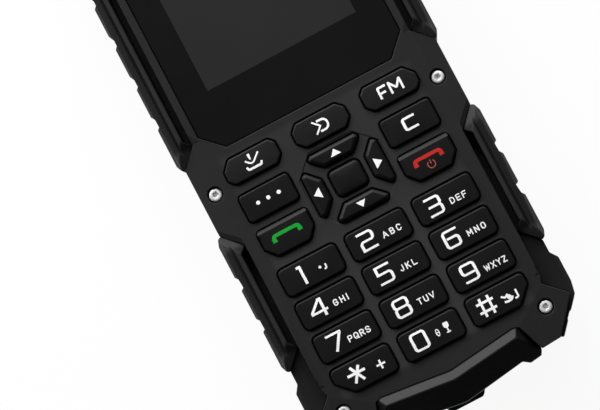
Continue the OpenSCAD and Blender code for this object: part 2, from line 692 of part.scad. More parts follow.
module rear_housing() color(black_col) difference() {
    slab(belt_plan, 0, split_h);
    slab(cav_plan, mid_z1, split_h + 1);
    slab(end_pocket_plan, back_wall, split_h);
    slab(top_pocket_plan, back_wall, split_h);
    box([-bay_half, bay_half], [bay_y0, bay_y1], [-1, mid_z0]);
    slab(inset(lid_plan, -lid_gap), -1, lid_seat);
    frame_slab(inset(cav_plan, -1.6), inset(cav_plan, -0.5), split_h - 0.6, split_h + 1);
    box([-socket_w / 2 - socket_gap, socket_w / 2 + socket_gap], [y0, cav_y0 + 1],
        [socket_z0 - socket_gap, board_z0 + socket_gap]);
    for (p = screw_at) pin(shank_d + 2 * shank_gap, p, shank_low - 0.4, split_h + 1);
    for (s = [-1, 1]) pin(shank_d + 2 * shank_gap, [s * lid_screw_x, lid_screw_y], -1, lid_shank + 1);
    pin(window_d + 2 * window_gap, [0, camera_y], -1, 1.2);
    pin(barrel_d + 0.8, [0, camera_y], -1, 3);
    pin(torch_d + 2 * window_gap, [torch_x, camera_y], -1, 1.2);
    pin(torch_d - 1.4 + 2 * window_gap, [torch_x, camera_y], -1, 3);
    for (i = [-2:2]) translate([(speaker_x0 + speaker_x1) / 2 + 0.25 + i * slot_pitch, 0, 0])
        box([-slot_w / 2, slot_w / 2], [cav_y0 + 2.4, end_pocket_y - 2], [-1, 3]);
    translate([mic_x, y0, mic_z]) rotate([-90, 0, 0]) cylinder(h = cavity_bottom + 1, d = mic_hole);
    box([-5, 5], [bay_y1 - sim_l + 0.4, bay_y1 - sim_l / 2 - 0.1], [mid_z0 - 1, mid_z1 + 1]);
    pair() below([waist - 1.4, waist_y, 0], 0, 45, waist_l);
}
module case_seal() color(rubber_col)
    frame_slab(inset(cav_plan, -1.55), inset(cav_plan, -0.55), split_h - 0.6, split_h);
module case_screws() color(steel_col) for (p = screw_at) screw(p, head_z0, shank_low);
module screw(p, seat, tip) difference() {
    union() {
        pin(head_d, p, seat, seat + head_h);
        pin(shank_d, p, tip, seat + 0.2);
    }
    translate([p[0], p[1], seat + head_h - 0.8]) cylinder(h = 1, d = 1.5, $fn = 6);
}

// Bumpers
function notches(from, step, count) = [for (i = [0:count - 1]) let (y = from + i * step) each [
    [side, y - rib_w / 2], [side - rib_d, y - rib_w / 2 + 0.35], [side - rib_d, y + rib_w / 2 - 0.35],
    [side, y + rib_w / 2]]];
module side_bumper(a, b, from, t0, t1) {
    count = floor((b - 4 - from) / rib_pitch) + 1;
    plan = concat([[face, a + shoulder], [waist, a], [side - 0.6, a + 0.5], [side, a + 1.8]],
        notches(from, rib_pitch, count),
        [[side, b - 1.8], [side - 0.6, b - 0.5], [waist, b], [face, b - shoulder],
        [belt, b - shoulder - channel_w], [belt, a + shoulder + channel_w]]);
    difference() {
        intersection() {
            slab(plan, 0, body_t + 1);
            along([[face - 1, foot_h], [side - 1.4, foot_h], [side, foot_h + 2.6], [side, face_z - 2.2],
                [side - 1.1, body_t - ridge_step - outer_fall],
                [belt + ridge_w + ridge_groove_w, body_t - ridge_step],
                [belt + ridge_w + ridge_groove_w / 3, body_t - ridge_groove],
                [belt + ridge_w, body_t], [face - 1, body_t]]);
        }
        slab(belt_plan, -1, chan_z);
        above([face + shoulder / 2, a + shoulder / 2, face_z - 1.1], 45, atan((ridge_h + 1.1) / t0));
        above([face + shoulder / 2, b - shoulder / 2, face_z - 1.1], -45, atan((ridge_h + 1.1) / t1));
    }
}
module lower_side() side_bumper(y0 + guard_l, waist_y0,
    waist_y0 - rib_low - rib_pitch * floor((waist_y0 - rib_low - y0 - guard_l - 5) / rib_pitch),
        ramp_down, ramp_up);
module upper_side() side_bumper(waist_y1, y1 - guard_l, waist_y1 + rib_up, ramp_down, ramp_up);
module lower_right_bumper() color(black_col) lower_side();
module lower_left_bumper() color(black_col) mirror([1, 0, 0]) lower_side();
module upper_right_bumper() color(black_col) upper_side();
module upper_left_bumper() color(black_col) mirror([1, 0, 0]) upper_side();
module guard(s) difference() {
    intersection() {
        slab([for (q = [[face, guard_l + shoulder], [waist, guard_l], [waist, guard_l - 3.1],
            [side, guard_l - 4.8],
            [side, lobe_l + 2.4], [side - 0.6, lobe_l - 0.4], [side - 3, lobe_l - 3.1],
                [side - 3.5, lobe_l - 3.3],
            [side - 4.5, lobe_l - 4.4], [side - 4.7, lobe_l - 4.9], [side - lobe_w - 0.6, lobe_end],
            [waist - lobe_w, lobe_end + 0.3], [waist - 0.4, lobe_l], [waist - 0.4, lobe_l + 0.5],
            [face - 0.7, hip_l - 1.6], [face, hip_l]]) [q[0], s * (y1 - q[1])]], 0, body_t);
        along([[face - 5, foot_h], [side - 1.4, foot_h], [side, foot_h + 2.6], [side, face_z - 3.2],
            [side - 1.2, face_z - 2], [face - 5, face_z - 1.1]]);
    }
    slab(belt_plan, -1, chan_z);
}
module bottom_corner_guards() color(black_col) pair() guard(-1);
module top_corner_guards() color(black_col) pair() guard(1);
// One half of an end bumper at the end s, with its lip and face measured from that end
module end_half(s, lip, out) difference() {
    intersection() {
        slab([for (q = [[0, lip], [lip_half, lip + lip_rise], [lip_half + lip_end, lip + lip_rise - 0.5],
            [lobe_x, lobe_end], [lobe_x - 0.7, out + 1.4], [lobe_x - 3.5, out + 1],
                [lobe_x - 5, out + end_taper],
            [0, out]]) [q[0], s * (y1 - q[1])]], 0, body_t);
        translate([0, s * (y1 - lip), 0]) rotate([0, 0, -s * atan(lip_rise / lip_half)]) rotate([90, 0, 90])
            linear_extrude(height = 60, center = true) polygon([for (q = let (d = lip - out) [[-1, foot_h],
            [d - 1.6, foot_h], [d + 1.5, foot_h + 3.1], [d + 1.5, body_t - 0.95 * (d - 1.4)],
            [lip_slope + lip_flat, body_t], [lip_slope, body_t], [0, face_z], [-1, face_z]])
            [s * q[0], q[1]]]);
    }
    slab(belt_plan, -1, chan_z);
    above([lip_half + lip_end - 0.3, s * (y1 - lip), face_z - 0.4], 180, 52, 60);
}
module bottom_bumper() color(black_col) difference() {
    pair() end_half(-1, lip_b, bottom_out);
    box([-flap_half - flap_gap, flap_half + flap_gap], [y0 - 1, flap_y0 + flap_t + flap_gap],
        [flap_low - flap_gap, flap_low + flap_h + flap_gap + 0.2]);
    hinge_bar(flap_half + 2 * flap_gap + hinge_end, hinge_d + 2 * hinge_gap);
    box([-socket_w / 2 - socket_gap, socket_w / 2 + socket_gap], [y0, y0 + 8],
        [socket_z0 - socket_gap, board_z0 + 0.9]);
    translate([mic_x, y0, mic_z]) rotate([-90, 0, 0]) cylinder(h = 9, d = mic_hole);
}
module top_bumper() color(black_col) pair() end_half(1, lip_t, 0);
flap_y0 = y0 + flap_in;
// Round bar of diameter d on the flap's hinge line
module hinge_bar(half, d) translate([-half, flap_y0 + hinge_d / 2, flap_low + hinge_d / 2])
    rotate([0, 90, 0])
    cylinder(h = 2 * half, d = d);
module port_flap() color(rubber_col) union() {
    hinge_bar(flap_half + flap_gap + hinge_end, hinge_d);
    box([-flap_half, flap_half], [flap_y0, flap_y0 + flap_t], [flap_low + hinge_d / 2, flap_low + flap_h]);
    slab([[-tab_half - 0.8, flap_y0 + 0.2], [-tab_half - 0.8, flap_y0], [-tab_half, y0 + 0.4],
        [-tab_half + 0.5, y0],
        [tab_half - 0.5, y0], [tab_half, y0 + 0.4], [tab_half + 0.8, flap_y0],
            [tab_half + 0.8, flap_y0 + 0.2]],
        flap_low + flap_h - 2.6, flap_low + flap_h - 0.4);
    box([-socket_w / 2 + 0.2, socket_w / 2 - 0.2], [flap_y0 + flap_t - 0.2, flap_y0 + flap_t + 1.4],
        [socket_z0 + 0.1, board_z0 - 0.1]);
}

// Display
module display_lens() color([0.02, 0.02, 0.025]) difference() {
    loft([[lens_plan, ledge_z + gasket_t], [lens_plan, face_z - lens_in - lens_bevel],
        [inset(lens_plan, lens_bevel), face_z - lens_in]]);
    box([-ear_half, ear_half], [ear_y - ear_w / 2, ear_y + ear_w / 2], [ledge_z, body_t]);
}
module lens_gasket() color(rubber_col)
    frame_slab(inset(lens_plan, 0.2), inset(lens_plan, ledge_w - 0.1), ledge_z, ledge_z + gasket_t);
// Plate outline with its upper corners cut by c: a and b are its ends
function plate(half, a, b, c) = shift(cut_rect(2 * half, b - a, [0, 0], [0, 0], [c, c], [c, c]),
    [0, (a + b) / 2]);
module display_module() color([0.3, 0.32, 0.34]) union() {
    slab(plate(picture_w / 2 + module_side, module_y0, module_y1, module_cut), module_z0, module_z1 - 0.3);
    slab(plate(picture_w / 2 + 1, picture_y0 - 3, picture_y0 + picture_l + 0.8, module_cut / 3),
        module_z1 - 0.4, module_z1);
}
module display_frame() color(black_col) difference() {
    slab(plate(picture_w / 2 + module_side + 0.8, module_y0 - 0.8, module_y1 + 0.15, module_cut + 0.4),
        board_z1, module_z0 + 0.6);
    box([-picture_w / 2 - module_side - 0.1, picture_w / 2 + module_side + 0.1],
        [module_y0 - 0.1, module_y1 + 1], [module_z0, body_t]);
    box([-picture_w / 2 + 2, picture_w / 2 - 2], [module_y0 + 6, module_y1 - 6], [0, body_t]);
}
module earpiece() color(steel_col)
    box([-ear_half - 0.1, ear_half + 0.1], [module_y1 + 0.35, ear_y + 2.1],
        [ledge_z - ear_t, ledge_z - 0.05]);
module earpiece_mesh() color([0.25, 0.25, 0.27])
    box([-ear_half - 0.7, ear_half + 0.7], [module_y1 + 0.3, ear_y + 0.65], [ledge_z, ledge_z + gasket_t]);

// Keys: cap, flange and stem in one moulding
module key(k, dish = 0) {
    p = k[0];
    r = k[1];
    crown = dish > 0 ? [[ring(p, 0.9, r), key_z1 - 0.1], [ring(p, 1.9, r), key_z1 - dish]]
        : [[ring(p, 0.8, r), key_z1]];
    union() {
        loft(concat([[ring(p, -key_lip, r), lip_z0], [ring(p, -key_lip, r), lip_z1],
            [ring(p, 0, r), lip_z1],
            [ring(p, 0, r), key_z1 - 0.4], [ring(p, 0.3, r), key_z1 - 0.08]], crown));
        translate([k[2][0], k[2][1], stem_z0]) rotate([0, 0, 22.5])
            cylinder(h = lip_z0 - stem_z0 + 0.2, d = stem_w, $fn = 8);
    }
}
module call_shape(k) difference() {
    key(k);
    above([k[2][0], k[2][1] + call_h / 2, key_z1 - 0.75], -90, 48, 30);
}
module key_1() color(key_col) key(key_rows[0]);
module key_2() color(key_col) key(key_rows[1]);
module key_3() color(key_col) key(key_rows[2]);
module key_4() color(key_col) key(key_rows[3]);
module key_5() color(key_col) key(key_rows[4]);
module key_6() color(key_col) key(key_rows[5]);
module key_7() color(key_col) key(key_rows[6]);
module key_8() color(key_col) key(key_rows[7]);
module key_9() color(key_col) key(key_rows[8]);
module key_star() color(key_col) key(key_rows[9]);
module key_0() color(key_col) key(key_rows[10]);
module key_hash() color(key_col) key(key_rows[11]);
module key_soft_left() color(key_col) key(key_rows[12]);
module key_menu() color(key_col) key(key_rows[13]);
module key_call() color(key_col) call_shape(key_rows[14]);
module nav_left() color(key_col) key(key_rows[15]);
module nav_down() color(key_col) key(key_rows[16]);
module key_soft_right() color(key_col) key(key_rows[17]);
module key_clear() color(key_col) key(key_rows[18]);
module key_end() color(key_col) call_shape(key_rows[19]);
module nav_right() color(key_col) key(key_rows[20]);
module nav_up() color(key_col) key(key_rows[21]);
module key_top() color(key_col) key(key_rows[22]);
module nav_ok() color(key_col) key(key_rows[23], 0.35);

// Under the keys
mat_plan = inset(pocket_plan, board_gap);
module keypad_mat() color(rubber_col) difference() {
    slab(mat_plan, board_z1 + film_t, mat_z1);
    slab(inset(mat_plan, 1.2), 0, mat_z1 - mat_t);
    for (k = key_rows) translate([k[2][0], k[2][1], board_z1]) rotate([0, 0, 22.5])
        cylinder(h = body_t, d = stem_w + 2 * stem_gap, $fn = 8);
}
module dome_sheet() color([0.8, 0.78, 0.7]) union() {
    slab(mat_plan, board_z1, board_z1 + film_t);
    for (k = key_rows) translate([k[2][0], k[2][1], board_z1 + film_t / 2])
        cylinder(h = film_t / 2 + dome_h, r1 = dome_r, r2 = 0.6 * dome_r);
}
module main_board() color(board_col) slab(inset(cav_plan, board_gap), board_z0, board_z1);
module board_shields() color(steel_col) translate([0, y0 + shield_up, 0]) {
    box([-shield_half, -0.1 * shield_half], [0, shield_l], [board_z0 - shield_h, board_z0]);
    box([0.15 * shield_half, shield_half], [0, shield_l - 4], [board_z0 - shield_h, board_z0]);
    box([-shield_half, shield_half - 2], [shield_l + 6, 2 * shield_l], [board_z0 - shield_h, board_z0]);
}
module microphone() color(steel_col)
    box([mic_x - mic_w / 2, mic_x + mic_w / 2], [cav_y0 + 1.5, cav_y0 + 4.5], [mic_z, board_z0]);
module vibration_motor() color(steel_col)
    pin(motor_d, [mic_x + 1, (cav_y0 + end_pocket_y) / 2], back_wall, back_wall + motor_t);
module loudspeaker() color(black_col)
    box([speaker_x0, speaker_x1], [cav_y0 + 0.6, end_pocket_y - 0.4], [back_wall, back_wall + speaker_t]);
module usb_socket() color(steel_col) difference() {
    box([-socket_w / 2, socket_w / 2], [y0 + socket_in, cav_y0 + 3], [socket_z0, board_z0]);
    box([-socket_w / 2 + socket_wall, socket_w / 2 - socket_wall], [y0, cav_y0 + 1.6],
        [socket_z0 + socket_wall, board_z0 - socket_wall]);
}
module camera_module() color(black_col) union() {
    box([-camera_w / 2, camera_w / 2], [camera_y - camera_w / 2, camera_y + camera_w / 2],
        [back_wall, back_wall + camera_t]);
    pin(barrel_d, [0, camera_y], 1.35, back_wall + 1);
}
module camera_window() color([0.03, 0.03, 0.04]) pin(window_d, [0, camera_y], 0.2, 1.2);
module torch_lens() color([0.9, 0.9, 0.85]) union() {
    pin(torch_d, [torch_x, camera_y], 0.2, 1.2);
    pin(torch_d - 1.4, [torch_x, camera_y], 1, 2.6);
}
module antenna() color([0.75, 0.6, 0.35]) 
    box([-antenna_w / 2, antenna_w / 2], [cav_y1 - antenna_l - 1, cav_y1 - 1],
        [board_z0 - antenna_t, board_z0]);
module sim_holder() color(steel_col)
    box([-sim_w / 2, sim_w / 2], [bay_y1 - sim_l - 0.3, bay_y1 - 0.3], [mid_z0 - sim_t, mid_z0]);
module battery_contacts() color([0.85, 0.7, 0.3]) union() for (i = [-1:1])
    translate([i * contact_pitch, bay_y0 + battery_l + 0.5, 0])
        box([-contact_w / 2, contact_w / 2], [0, 1.2], [battery_z + 1, mid_z0]);
module battery() color([0.15, 0.2, 0.3]) box([-battery_w / 2, battery_w / 2],
    [bay_y0 + battery_gap, bay_y0 + battery_gap + battery_l], [battery_z, battery_z + battery_t]);
module battery_cover() color(cover_col) difference() {
    slab(lid_plan, lid_in, lid_in + lid_t);
    for (s = [-1, 1]) {
        pin(shank_d + 2 * shank_gap, [s * lid_screw_x, lid_screw_y], -1, 3);
        pin(head_d + 2 * head_gap, [s * lid_screw_x, lid_screw_y], -1, lid_in + 0.7);
    }
    for (i = [-6:6]) translate([0, bay_y0 + battery_l / 2 + i * grip_pitch, 0])
        box([-grip_half, grip_half], [-grip_w / 2, grip_w / 2], [-1, lid_in + grip_d]);
}
module cover_screws() color(steel_col) for (s = [-1, 1]) difference() {
    union() {
        pin(head_d, [s * lid_screw_x, lid_screw_y], lid_in, lid_in + 0.7);
        pin(shank_d, [s * lid_screw_x, lid_screw_y], lid_in + 0.5, lid_shank);
    }
    translate([s * lid_screw_x, lid_screw_y, 0]) box([-1.2, 1.2], [-0.25, 0.25], [0, lid_in + 0.4]);
}

front_cover();
display_lens();
lens_gasket();
display_module();
display_frame();
earpiece();
earpiece_mesh();
key_1();
key_2();
key_3();
key_4();
key_5();
key_6();
key_7();
key_8();
key_9();
key_star();
key_0();
key_hash();
key_soft_left();
key_top();
key_soft_right();
key_menu();
key_clear();
key_call();
key_end();
nav_up();
nav_down();
nav_left();
nav_right();
nav_ok();
keypad_mat();
dome_sheet();
main_board();
board_shields();
microphone();
loudspeaker();
vibration_motor();
usb_socket();
camera_module();
camera_window();
torch_lens();
antenna();
sim_holder();
battery_contacts();
battery();
battery_cover();
cover_screws();
rear_housing();
case_seal();
case_screws();
upper_left_bumper();
upper_right_bumper();
lower_left_bumper();
lower_right_bumper();
bottom_corner_guards();
top_corner_guards();
bottom_bumper();
top_bumper();
port_flap();
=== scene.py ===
import json
import math

import bmesh
import bpy
import numpy as np
from mathutils import Matrix, Vector


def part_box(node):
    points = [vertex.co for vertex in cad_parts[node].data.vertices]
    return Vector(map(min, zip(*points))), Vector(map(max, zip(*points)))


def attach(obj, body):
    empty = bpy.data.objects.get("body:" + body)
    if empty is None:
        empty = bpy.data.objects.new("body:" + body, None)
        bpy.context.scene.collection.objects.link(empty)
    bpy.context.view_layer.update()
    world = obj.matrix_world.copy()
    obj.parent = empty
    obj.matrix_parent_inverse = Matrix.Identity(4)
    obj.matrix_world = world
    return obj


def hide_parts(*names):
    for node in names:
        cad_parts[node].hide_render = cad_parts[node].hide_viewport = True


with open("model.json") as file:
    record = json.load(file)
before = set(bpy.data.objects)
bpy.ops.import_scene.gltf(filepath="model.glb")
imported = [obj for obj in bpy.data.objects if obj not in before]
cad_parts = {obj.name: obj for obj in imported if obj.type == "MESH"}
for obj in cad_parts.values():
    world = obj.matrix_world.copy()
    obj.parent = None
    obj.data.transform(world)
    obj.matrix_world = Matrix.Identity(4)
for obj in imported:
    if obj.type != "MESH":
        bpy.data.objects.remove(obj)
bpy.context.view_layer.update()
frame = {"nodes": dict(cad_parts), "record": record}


# The camera is a long lens over the keypad, tipped a little towards its foot and its right
# side, and turned so that the phone leans across the picture. It takes in about 129 mm.
MM = 0.001
AIM = np.array([-11.89, -19.39, 17.6])
STAND_OFF = 420.0
TIP = math.radians(4.0)
SIDE_TIP = math.radians(2.4)
LEAN = math.radians(27.77)
SEEN_WIDTH = 128.7


def unit(v):
    """Each vector over its own length."""
    v = np.asarray(v, float)
    return v / np.linalg.norm(v, axis=-1, keepdims=True)


away = unit([math.tan(SIDE_TIP), -math.tan(TIP), 1.0])
across = unit(np.cross([math.sin(LEAN), math.cos(LEAN), 0.0], away))
lens = bpy.data.cameras.new("long_lens")
lens.sensor_fit = "HORIZONTAL"
lens.sensor_width = 36.0
lens.lens = lens.sensor_width * STAND_OFF / SEEN_WIDTH
lens.clip_start, lens.clip_end = 0.01, 50.0
camera = bpy.data.objects.new("long_lens", lens)
stand = np.eye(4)
stand[:3, :3] = np.stack([across, np.cross(away, across), away], axis=1)
stand[:3, 3] = (AIM + STAND_OFF * away) * MM
camera.matrix_world = Matrix(stand.tolist())
bpy.context.scene.collection.objects.link(camera)
bpy.context.scene.camera = camera


# The studio: a pale table that the phone lies on, a dim room that glows past the display
# end, and soft boxes at that end and at the left side.
class Wire:
    """One socket of a node tree. Operators on it add Math nodes, and make() adds any other node."""

    def __init__(self, tree, end):
        self.tree, self.end = tree, end

    def make(self, kind, settings=None, values=None, out=0):
        """A node of that type, with its settings made first and then its sockets set or linked."""
        node = self.tree.nodes.new(kind)
        for key, value in (settings or {}).items():
            if key == "stops":
                ramp = node.color_ramp.elements
                ramp[0].position, ramp[0].color = value[0][0], value[0][1]
                ramp[-1].position, ramp[-1].color = value[-1][0], value[-1][1]
                for at, colour in value[1:-1]:
                    ramp.new(at).color = colour
            else:
                setattr(node, key, value)
        for key, value in (values or {}).items():
            if isinstance(value, Wire):
                self.tree.links.new(value.end, node.inputs[key])
            else:
                node.inputs[key].default_value = value
        return Wire(self.tree, node.outputs[out])

    def math(self, operation, a, b=0.0):
        """A Math node on two values or wires."""
        return self.make("ShaderNodeMath", {"operation": operation}, {0: a, 1: b})

    def __add__(self, other):
        return self.math("ADD", self, other)

    def __sub__(self, other):
        return self.math("SUBTRACT", self, other)

    def __rsub__(self, other):
        return self.math("SUBTRACT", other, self)

    def __mul__(self, other):
        return self.math("MULTIPLY", self, other)

    def __lt__(self, other):
        return self.math("LESS_THAN", self, other)

    def __gt__(self, other):
        return self.math("GREATER_THAN", self, other)

    __radd__, __rmul__ = __add__, __mul__

    def mix(self, low, high):
        """Colour low where this is 0 and high where it is 1."""
        return self.make("ShaderNodeMix", {"data_type": "RGBA"}, {0: self, 6: low, 7: high}, 2)

    def fade(self, zero, one):
        """A smooth step of this value, from 0 where it is zero to 1 where it is one."""
        return self.make("ShaderNodeMapRange", {"interpolation_type": "SMOOTHSTEP"}, {0: self, 1: zero, 2: one})

    def feed(self, shader, socket):
        """Link this to a shader's socket."""
        self.tree.links.new(self.end, shader.inputs[socket])


def grey(v):
    """A neutral colour of that value."""
    return (v, v, v, 1.0)


def finish_sheet(name):
    """A new material with a wire of the object's own coordinates and its main shader."""
    material = bpy.data.materials.new(name)
    material.use_nodes = True
    tree = material.node_tree
    at = Wire(tree, tree.nodes.new("ShaderNodeTexCoord").outputs["Object"])
    return material, at, tree.nodes["Principled BSDF"]


TABLE, WHITE_SHARE = 20.0, 0.93
table_mesh = bpy.data.meshes.new("table")
table_corners = [(-TABLE, -TABLE, 0), (TABLE, -TABLE, 0), (TABLE, TABLE, 0), (-TABLE, TABLE, 0)]
table_mesh.from_pydata(table_corners, [], [(0, 1, 2, 3)])
table = bpy.data.objects.new("table", table_mesh)
bpy.context.scene.collection.objects.link(table)
table_paint, at, shader = finish_sheet("pale_table")
mottle = at.make("ShaderNodeTexNoise", {}, {"Vector": at, "Scale": 9.0, "Detail": 3.0})
mottle.mix(grey(0.9), grey(0.94)).feed(shader, "Base Color")
shader.inputs["Roughness"].default_value = 0.8
shader.inputs["Specular IOR Level"].default_value = 0.2
path = at.tree.nodes.new("ShaderNodeLightPath")
seen = sum(Wire(at.tree, path.outputs[f"Is {kind} Ray"]) for kind in ("Camera", "Glossy", "Transmission"))
seen = seen.math("MINIMUM", seen, 1.0) * WHITE_SHARE
white = at.make("ShaderNodeEmission", {}, {"Color": grey(1.0), "Strength": 1.0})
lit = Wire(at.tree, shader.outputs[0])
surface = at.make("ShaderNodeMixShader", {}, {0: seen, 1: lit, 2: white})
at.tree.links.new(surface.end, at.tree.nodes["Material Output"].inputs["Surface"])
table_mesh.materials.append(table_paint)

room = bpy.data.worlds.new("room")
room.use_nodes = True
bpy.context.scene.world = room
sky = room.node_tree.nodes["Background"]
facing = Wire(room.node_tree, room.node_tree.nodes.new("ShaderNodeTexCoord").outputs["Generated"])


def glow_round(way, stops):
    """The room's light by how far a direction turns from a way: 0 is straight against it and 1 is along it."""
    way = tuple(unit(way))
    turned_to = facing.make("ShaderNodeVectorMath", {"operation": "DOT_PRODUCT"}, {0: facing, 1: way}, 1)
    stops = [(turn, grey(level)) for turn, level in stops]
    return facing.make("ShaderNodeValToRGB", {"stops": stops}, {0: turned_to * 0.5 + 0.5})


past_end = glow_round([0.2, 0.97, 0.2], [(0.0, 0.0), (0.6, 0.02), (0.75, 0.1), (0.88, 0.5), (1.0, 0.8)])
overhead = glow_round([0.1, 0.3, 1.0], [(0.0, 0.005), (0.55, 0.01), (0.75, 0.07), (0.9, 0.07), (0.97, 0.05),
                                        (1.0, 0.04)])
facing.make("ShaderNodeMix", {"data_type": "RGBA", "blend_type": "ADD"}, {0: 1.0, 6: past_end, 7: overhead},
            2).feed(sky, "Color")
sky.inputs["Strength"].default_value = 1.19


KEYPAD_MIDDLE = Vector((0, -0.02, 0.01))


def soft_box(name, spot, wide, high, watts):
    """A rectangular lamp at a spot in metres, turned to the middle of the keypad."""
    lamp = bpy.data.lights.new(name, "AREA")
    lamp.shape, lamp.size, lamp.size_y, lamp.energy = "RECTANGLE", wide, high, watts
    holder = bpy.data.objects.new(name, lamp)
    holder.location = spot
    holder.rotation_euler = (KEYPAD_MIDDLE - Vector(spot)).to_track_quat("-Z", "Y").to_euler()
    bpy.context.scene.collection.objects.link(holder)


soft_box("end_box", (-0.04, 0.55, 0.33), 1.15, 0.32, 9.75)
soft_box("left_box", (-0.7, 0.2, 0.35), 0.4, 0.5, 0.62)
bpy.context.scene.view_settings.view_transform = "Standard"


# The case halves are moulded in black glass-filled plastic with a fine eroded grain.
# The rear half is a tub with a battery bay, and the front cover closes it. The webs between
# its keys are painted a little paler: painted light against the shade between the keys.
RECORD = frame["record"]
BODY = {node: body for body, nodes in RECORD["behaviour"]["bodies"].items() for node in nodes}
SLOT = {part["node"]: part["material_slot"] for part in RECORD["subparts"]}
TONE_SWING, LIFTED_LOW, LIFTED_HIGH, SLOW_SCALE = 0.28, 1.9, 3.5, 60.0


def moulded(name, tone, rough, grain, depth, shine=0.35, painted_light=None):
    """Black plastic: a fine grain in its height and gloss over a faint slow change of tone.
    tone is its grey, rough its roughness, grain the grain's size in metres and depth its height.
    painted_light may give the share of painted light at a place, which turns the plastic paler there."""
    material, at, shader = finish_sheet(name)
    shader.inputs["Specular IOR Level"].default_value = shine
    slow = at.make("ShaderNodeTexNoise", {}, {"Vector": at, "Scale": SLOW_SCALE, "Detail": 2.0})
    fine = at.make("ShaderNodeTexNoise", {}, {"Vector": at, "Scale": 1 / grain, "Detail": 4.0, "Roughness": 0.6})
    pits = at.make("ShaderNodeTexVoronoi", {}, {"Vector": at, "Scale": 0.8 / grain})
    mottle = slow * 0.6 + fine * 0.4
    colour = mottle.mix(grey(tone * (1 - TONE_SWING)), grey(tone * (1 + TONE_SWING)))
    # Painted light: where the mask is set, the plastic is made paler.
    if painted_light:
        lifted = painted_light(at) * (fine * 0.5 + 0.75)
        colour = lifted.mix(colour, mottle.mix(grey(tone * LIFTED_LOW), grey(tone * LIFTED_HIGH)))
    colour.feed(shader, "Base Color")
    (fine * 0.16 + slow * 0.08 + (rough - 0.12)).feed(shader, "Roughness")
    relief = fine * 0.6 + pits * 0.4
    at.make("ShaderNodeBump", {}, {"Strength": 0.6, "Distance": depth, "Height": relief}).feed(shader, "Normal")
    return material


WELD, FLAT, BEVEL_ROOM = 2e-6, math.radians(0.4), 2.5


def softened(node, radius, material, steps=2, fold=4.0, sharp=28.0):
    """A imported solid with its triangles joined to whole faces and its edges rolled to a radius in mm, or to less
    beside a narrow face. Faces that meet at less than the fold angle shade as one, and edges past the sharp angle
    are rolled."""
    form = bmesh.new()
    form.from_mesh(frame["nodes"][node].data)
    bmesh.ops.remove_doubles(form, verts=form.verts, dist=WELD)
    bmesh.ops.dissolve_limit(form, angle_limit=FLAT, verts=form.verts, edges=form.edges)
    share = form.edges.layers.float.new("bevel_weight_edge")
    for edge in form.edges:
        if len(edge.link_faces) == 2 and edge.calc_face_angle() > math.radians(sharp):
            space = min(face.calc_area() for face in edge.link_faces) / edge.calc_length()
            edge[share] = min(1.0, space / (BEVEL_ROOM * radius * MM))
    bmesh.ops.triangulate(form, faces=[face for face in form.faces if len(face.verts) > 4])
    mesh = bpy.data.meshes.new(node + "_moulding")
    form.to_mesh(mesh)
    form.free()
    mesh.materials.clear()
    mesh.materials.append(material)
    mesh.shade_smooth()
    mesh.set_sharp_from_angle(angle=math.radians(fold))
    piece = bpy.data.objects.new(node + "_moulding", mesh)
    bpy.context.scene.collection.objects.link(piece)
    roll = piece.modifiers.new("rolled_edges", "BEVEL")
    roll.width, roll.segments = radius * MM, steps
    roll.limit_method = "WEIGHT"
    roll.use_clamp_overlap = roll.loop_slide = False
    roll.face_strength_mode = "FSTR_ALL"
    even = piece.modifiers.new("even_shading", "WEIGHTED_NORMAL")
    even.use_face_influence = even.keep_sharp = True
    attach(piece, BODY[node])
    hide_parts(node)
    return piece


LIT_WEB_HALF, LIT_WEB_LOW, LIT_WEB_HIGH, LIT_WEB_EDGE = 23.6 * MM, -61.4 * MM, -2.0 * MM, 1.5 * MM
NUMBERS_FROM, NUMBERS_FULL, WEB_LIGHT_ALL, WEB_LIGHT_NUMBERS = -26.0 * MM, -32.0 * MM, 0.23, 0.17


def painted_web_light(at):
    """Where light is painted on the case: the webs between the keys, most of all between the number keys, fading out
    round the keypad. It is painted light that lifts the shade falling between the keys."""
    x, y = (at.make("ShaderNodeSeparateXYZ", {}, {0: at}, axis) for axis in (0, 1))
    side = at.math("ABSOLUTE", x).fade(LIT_WEB_HALF, LIT_WEB_HALF - LIT_WEB_EDGE)
    low = y.fade(LIT_WEB_LOW, LIT_WEB_LOW + LIT_WEB_EDGE)
    high = y.fade(LIT_WEB_HIGH, LIT_WEB_HIGH - LIT_WEB_EDGE)
    return side * low * high * (y.fade(NUMBERS_FROM, NUMBERS_FULL) * WEB_LIGHT_NUMBERS + WEB_LIGHT_ALL)


# The webs between the keys are painted paler: painted light against the shade that falls between them.
case_black = moulded("case_black", 0.0204, 0.55, 0.00022, 0.00002, 0.064, painted_web_light)
softened("rear_housing", 0.25, case_black, fold=13.0)
softened("front_cover", 0.18, case_black)


# Everything sealed in the case: board, shield cans, speakers, motor, antenna and the
# battery with its contacts and card holder, seen only with the cover off.
def sheet_metal(name, colour, rough, metalness=1.0):
    """Metal: a drawn streak in its gloss and a slow stain in its colour. metalness is its share of metal, and the rest
    shows its colour as diffuse paint.
    """
    material, at, shader = finish_sheet(name)
    drawn = at.make("ShaderNodeMapping", {}, {"Vector": at, "Scale": (4000.0, 160.0, 400.0)})
    streak = at.make("ShaderNodeTexNoise", {}, {"Vector": drawn, "Scale": 1.0, "Detail": 3.0})
    stain = at.make("ShaderNodeTexNoise", {}, {"Vector": at, "Scale": 180.0, "Detail": 2.0})
    dull = tuple(0.8 * c for c in colour[:3]) + (1.0,)
    stain.mix(dull, colour).feed(shader, "Base Color")
    (streak * 0.2 + (rough - 0.1)).feed(shader, "Roughness")
    (streak * 0.1 + (metalness - 0.05)).feed(shader, "Metallic")
    return material


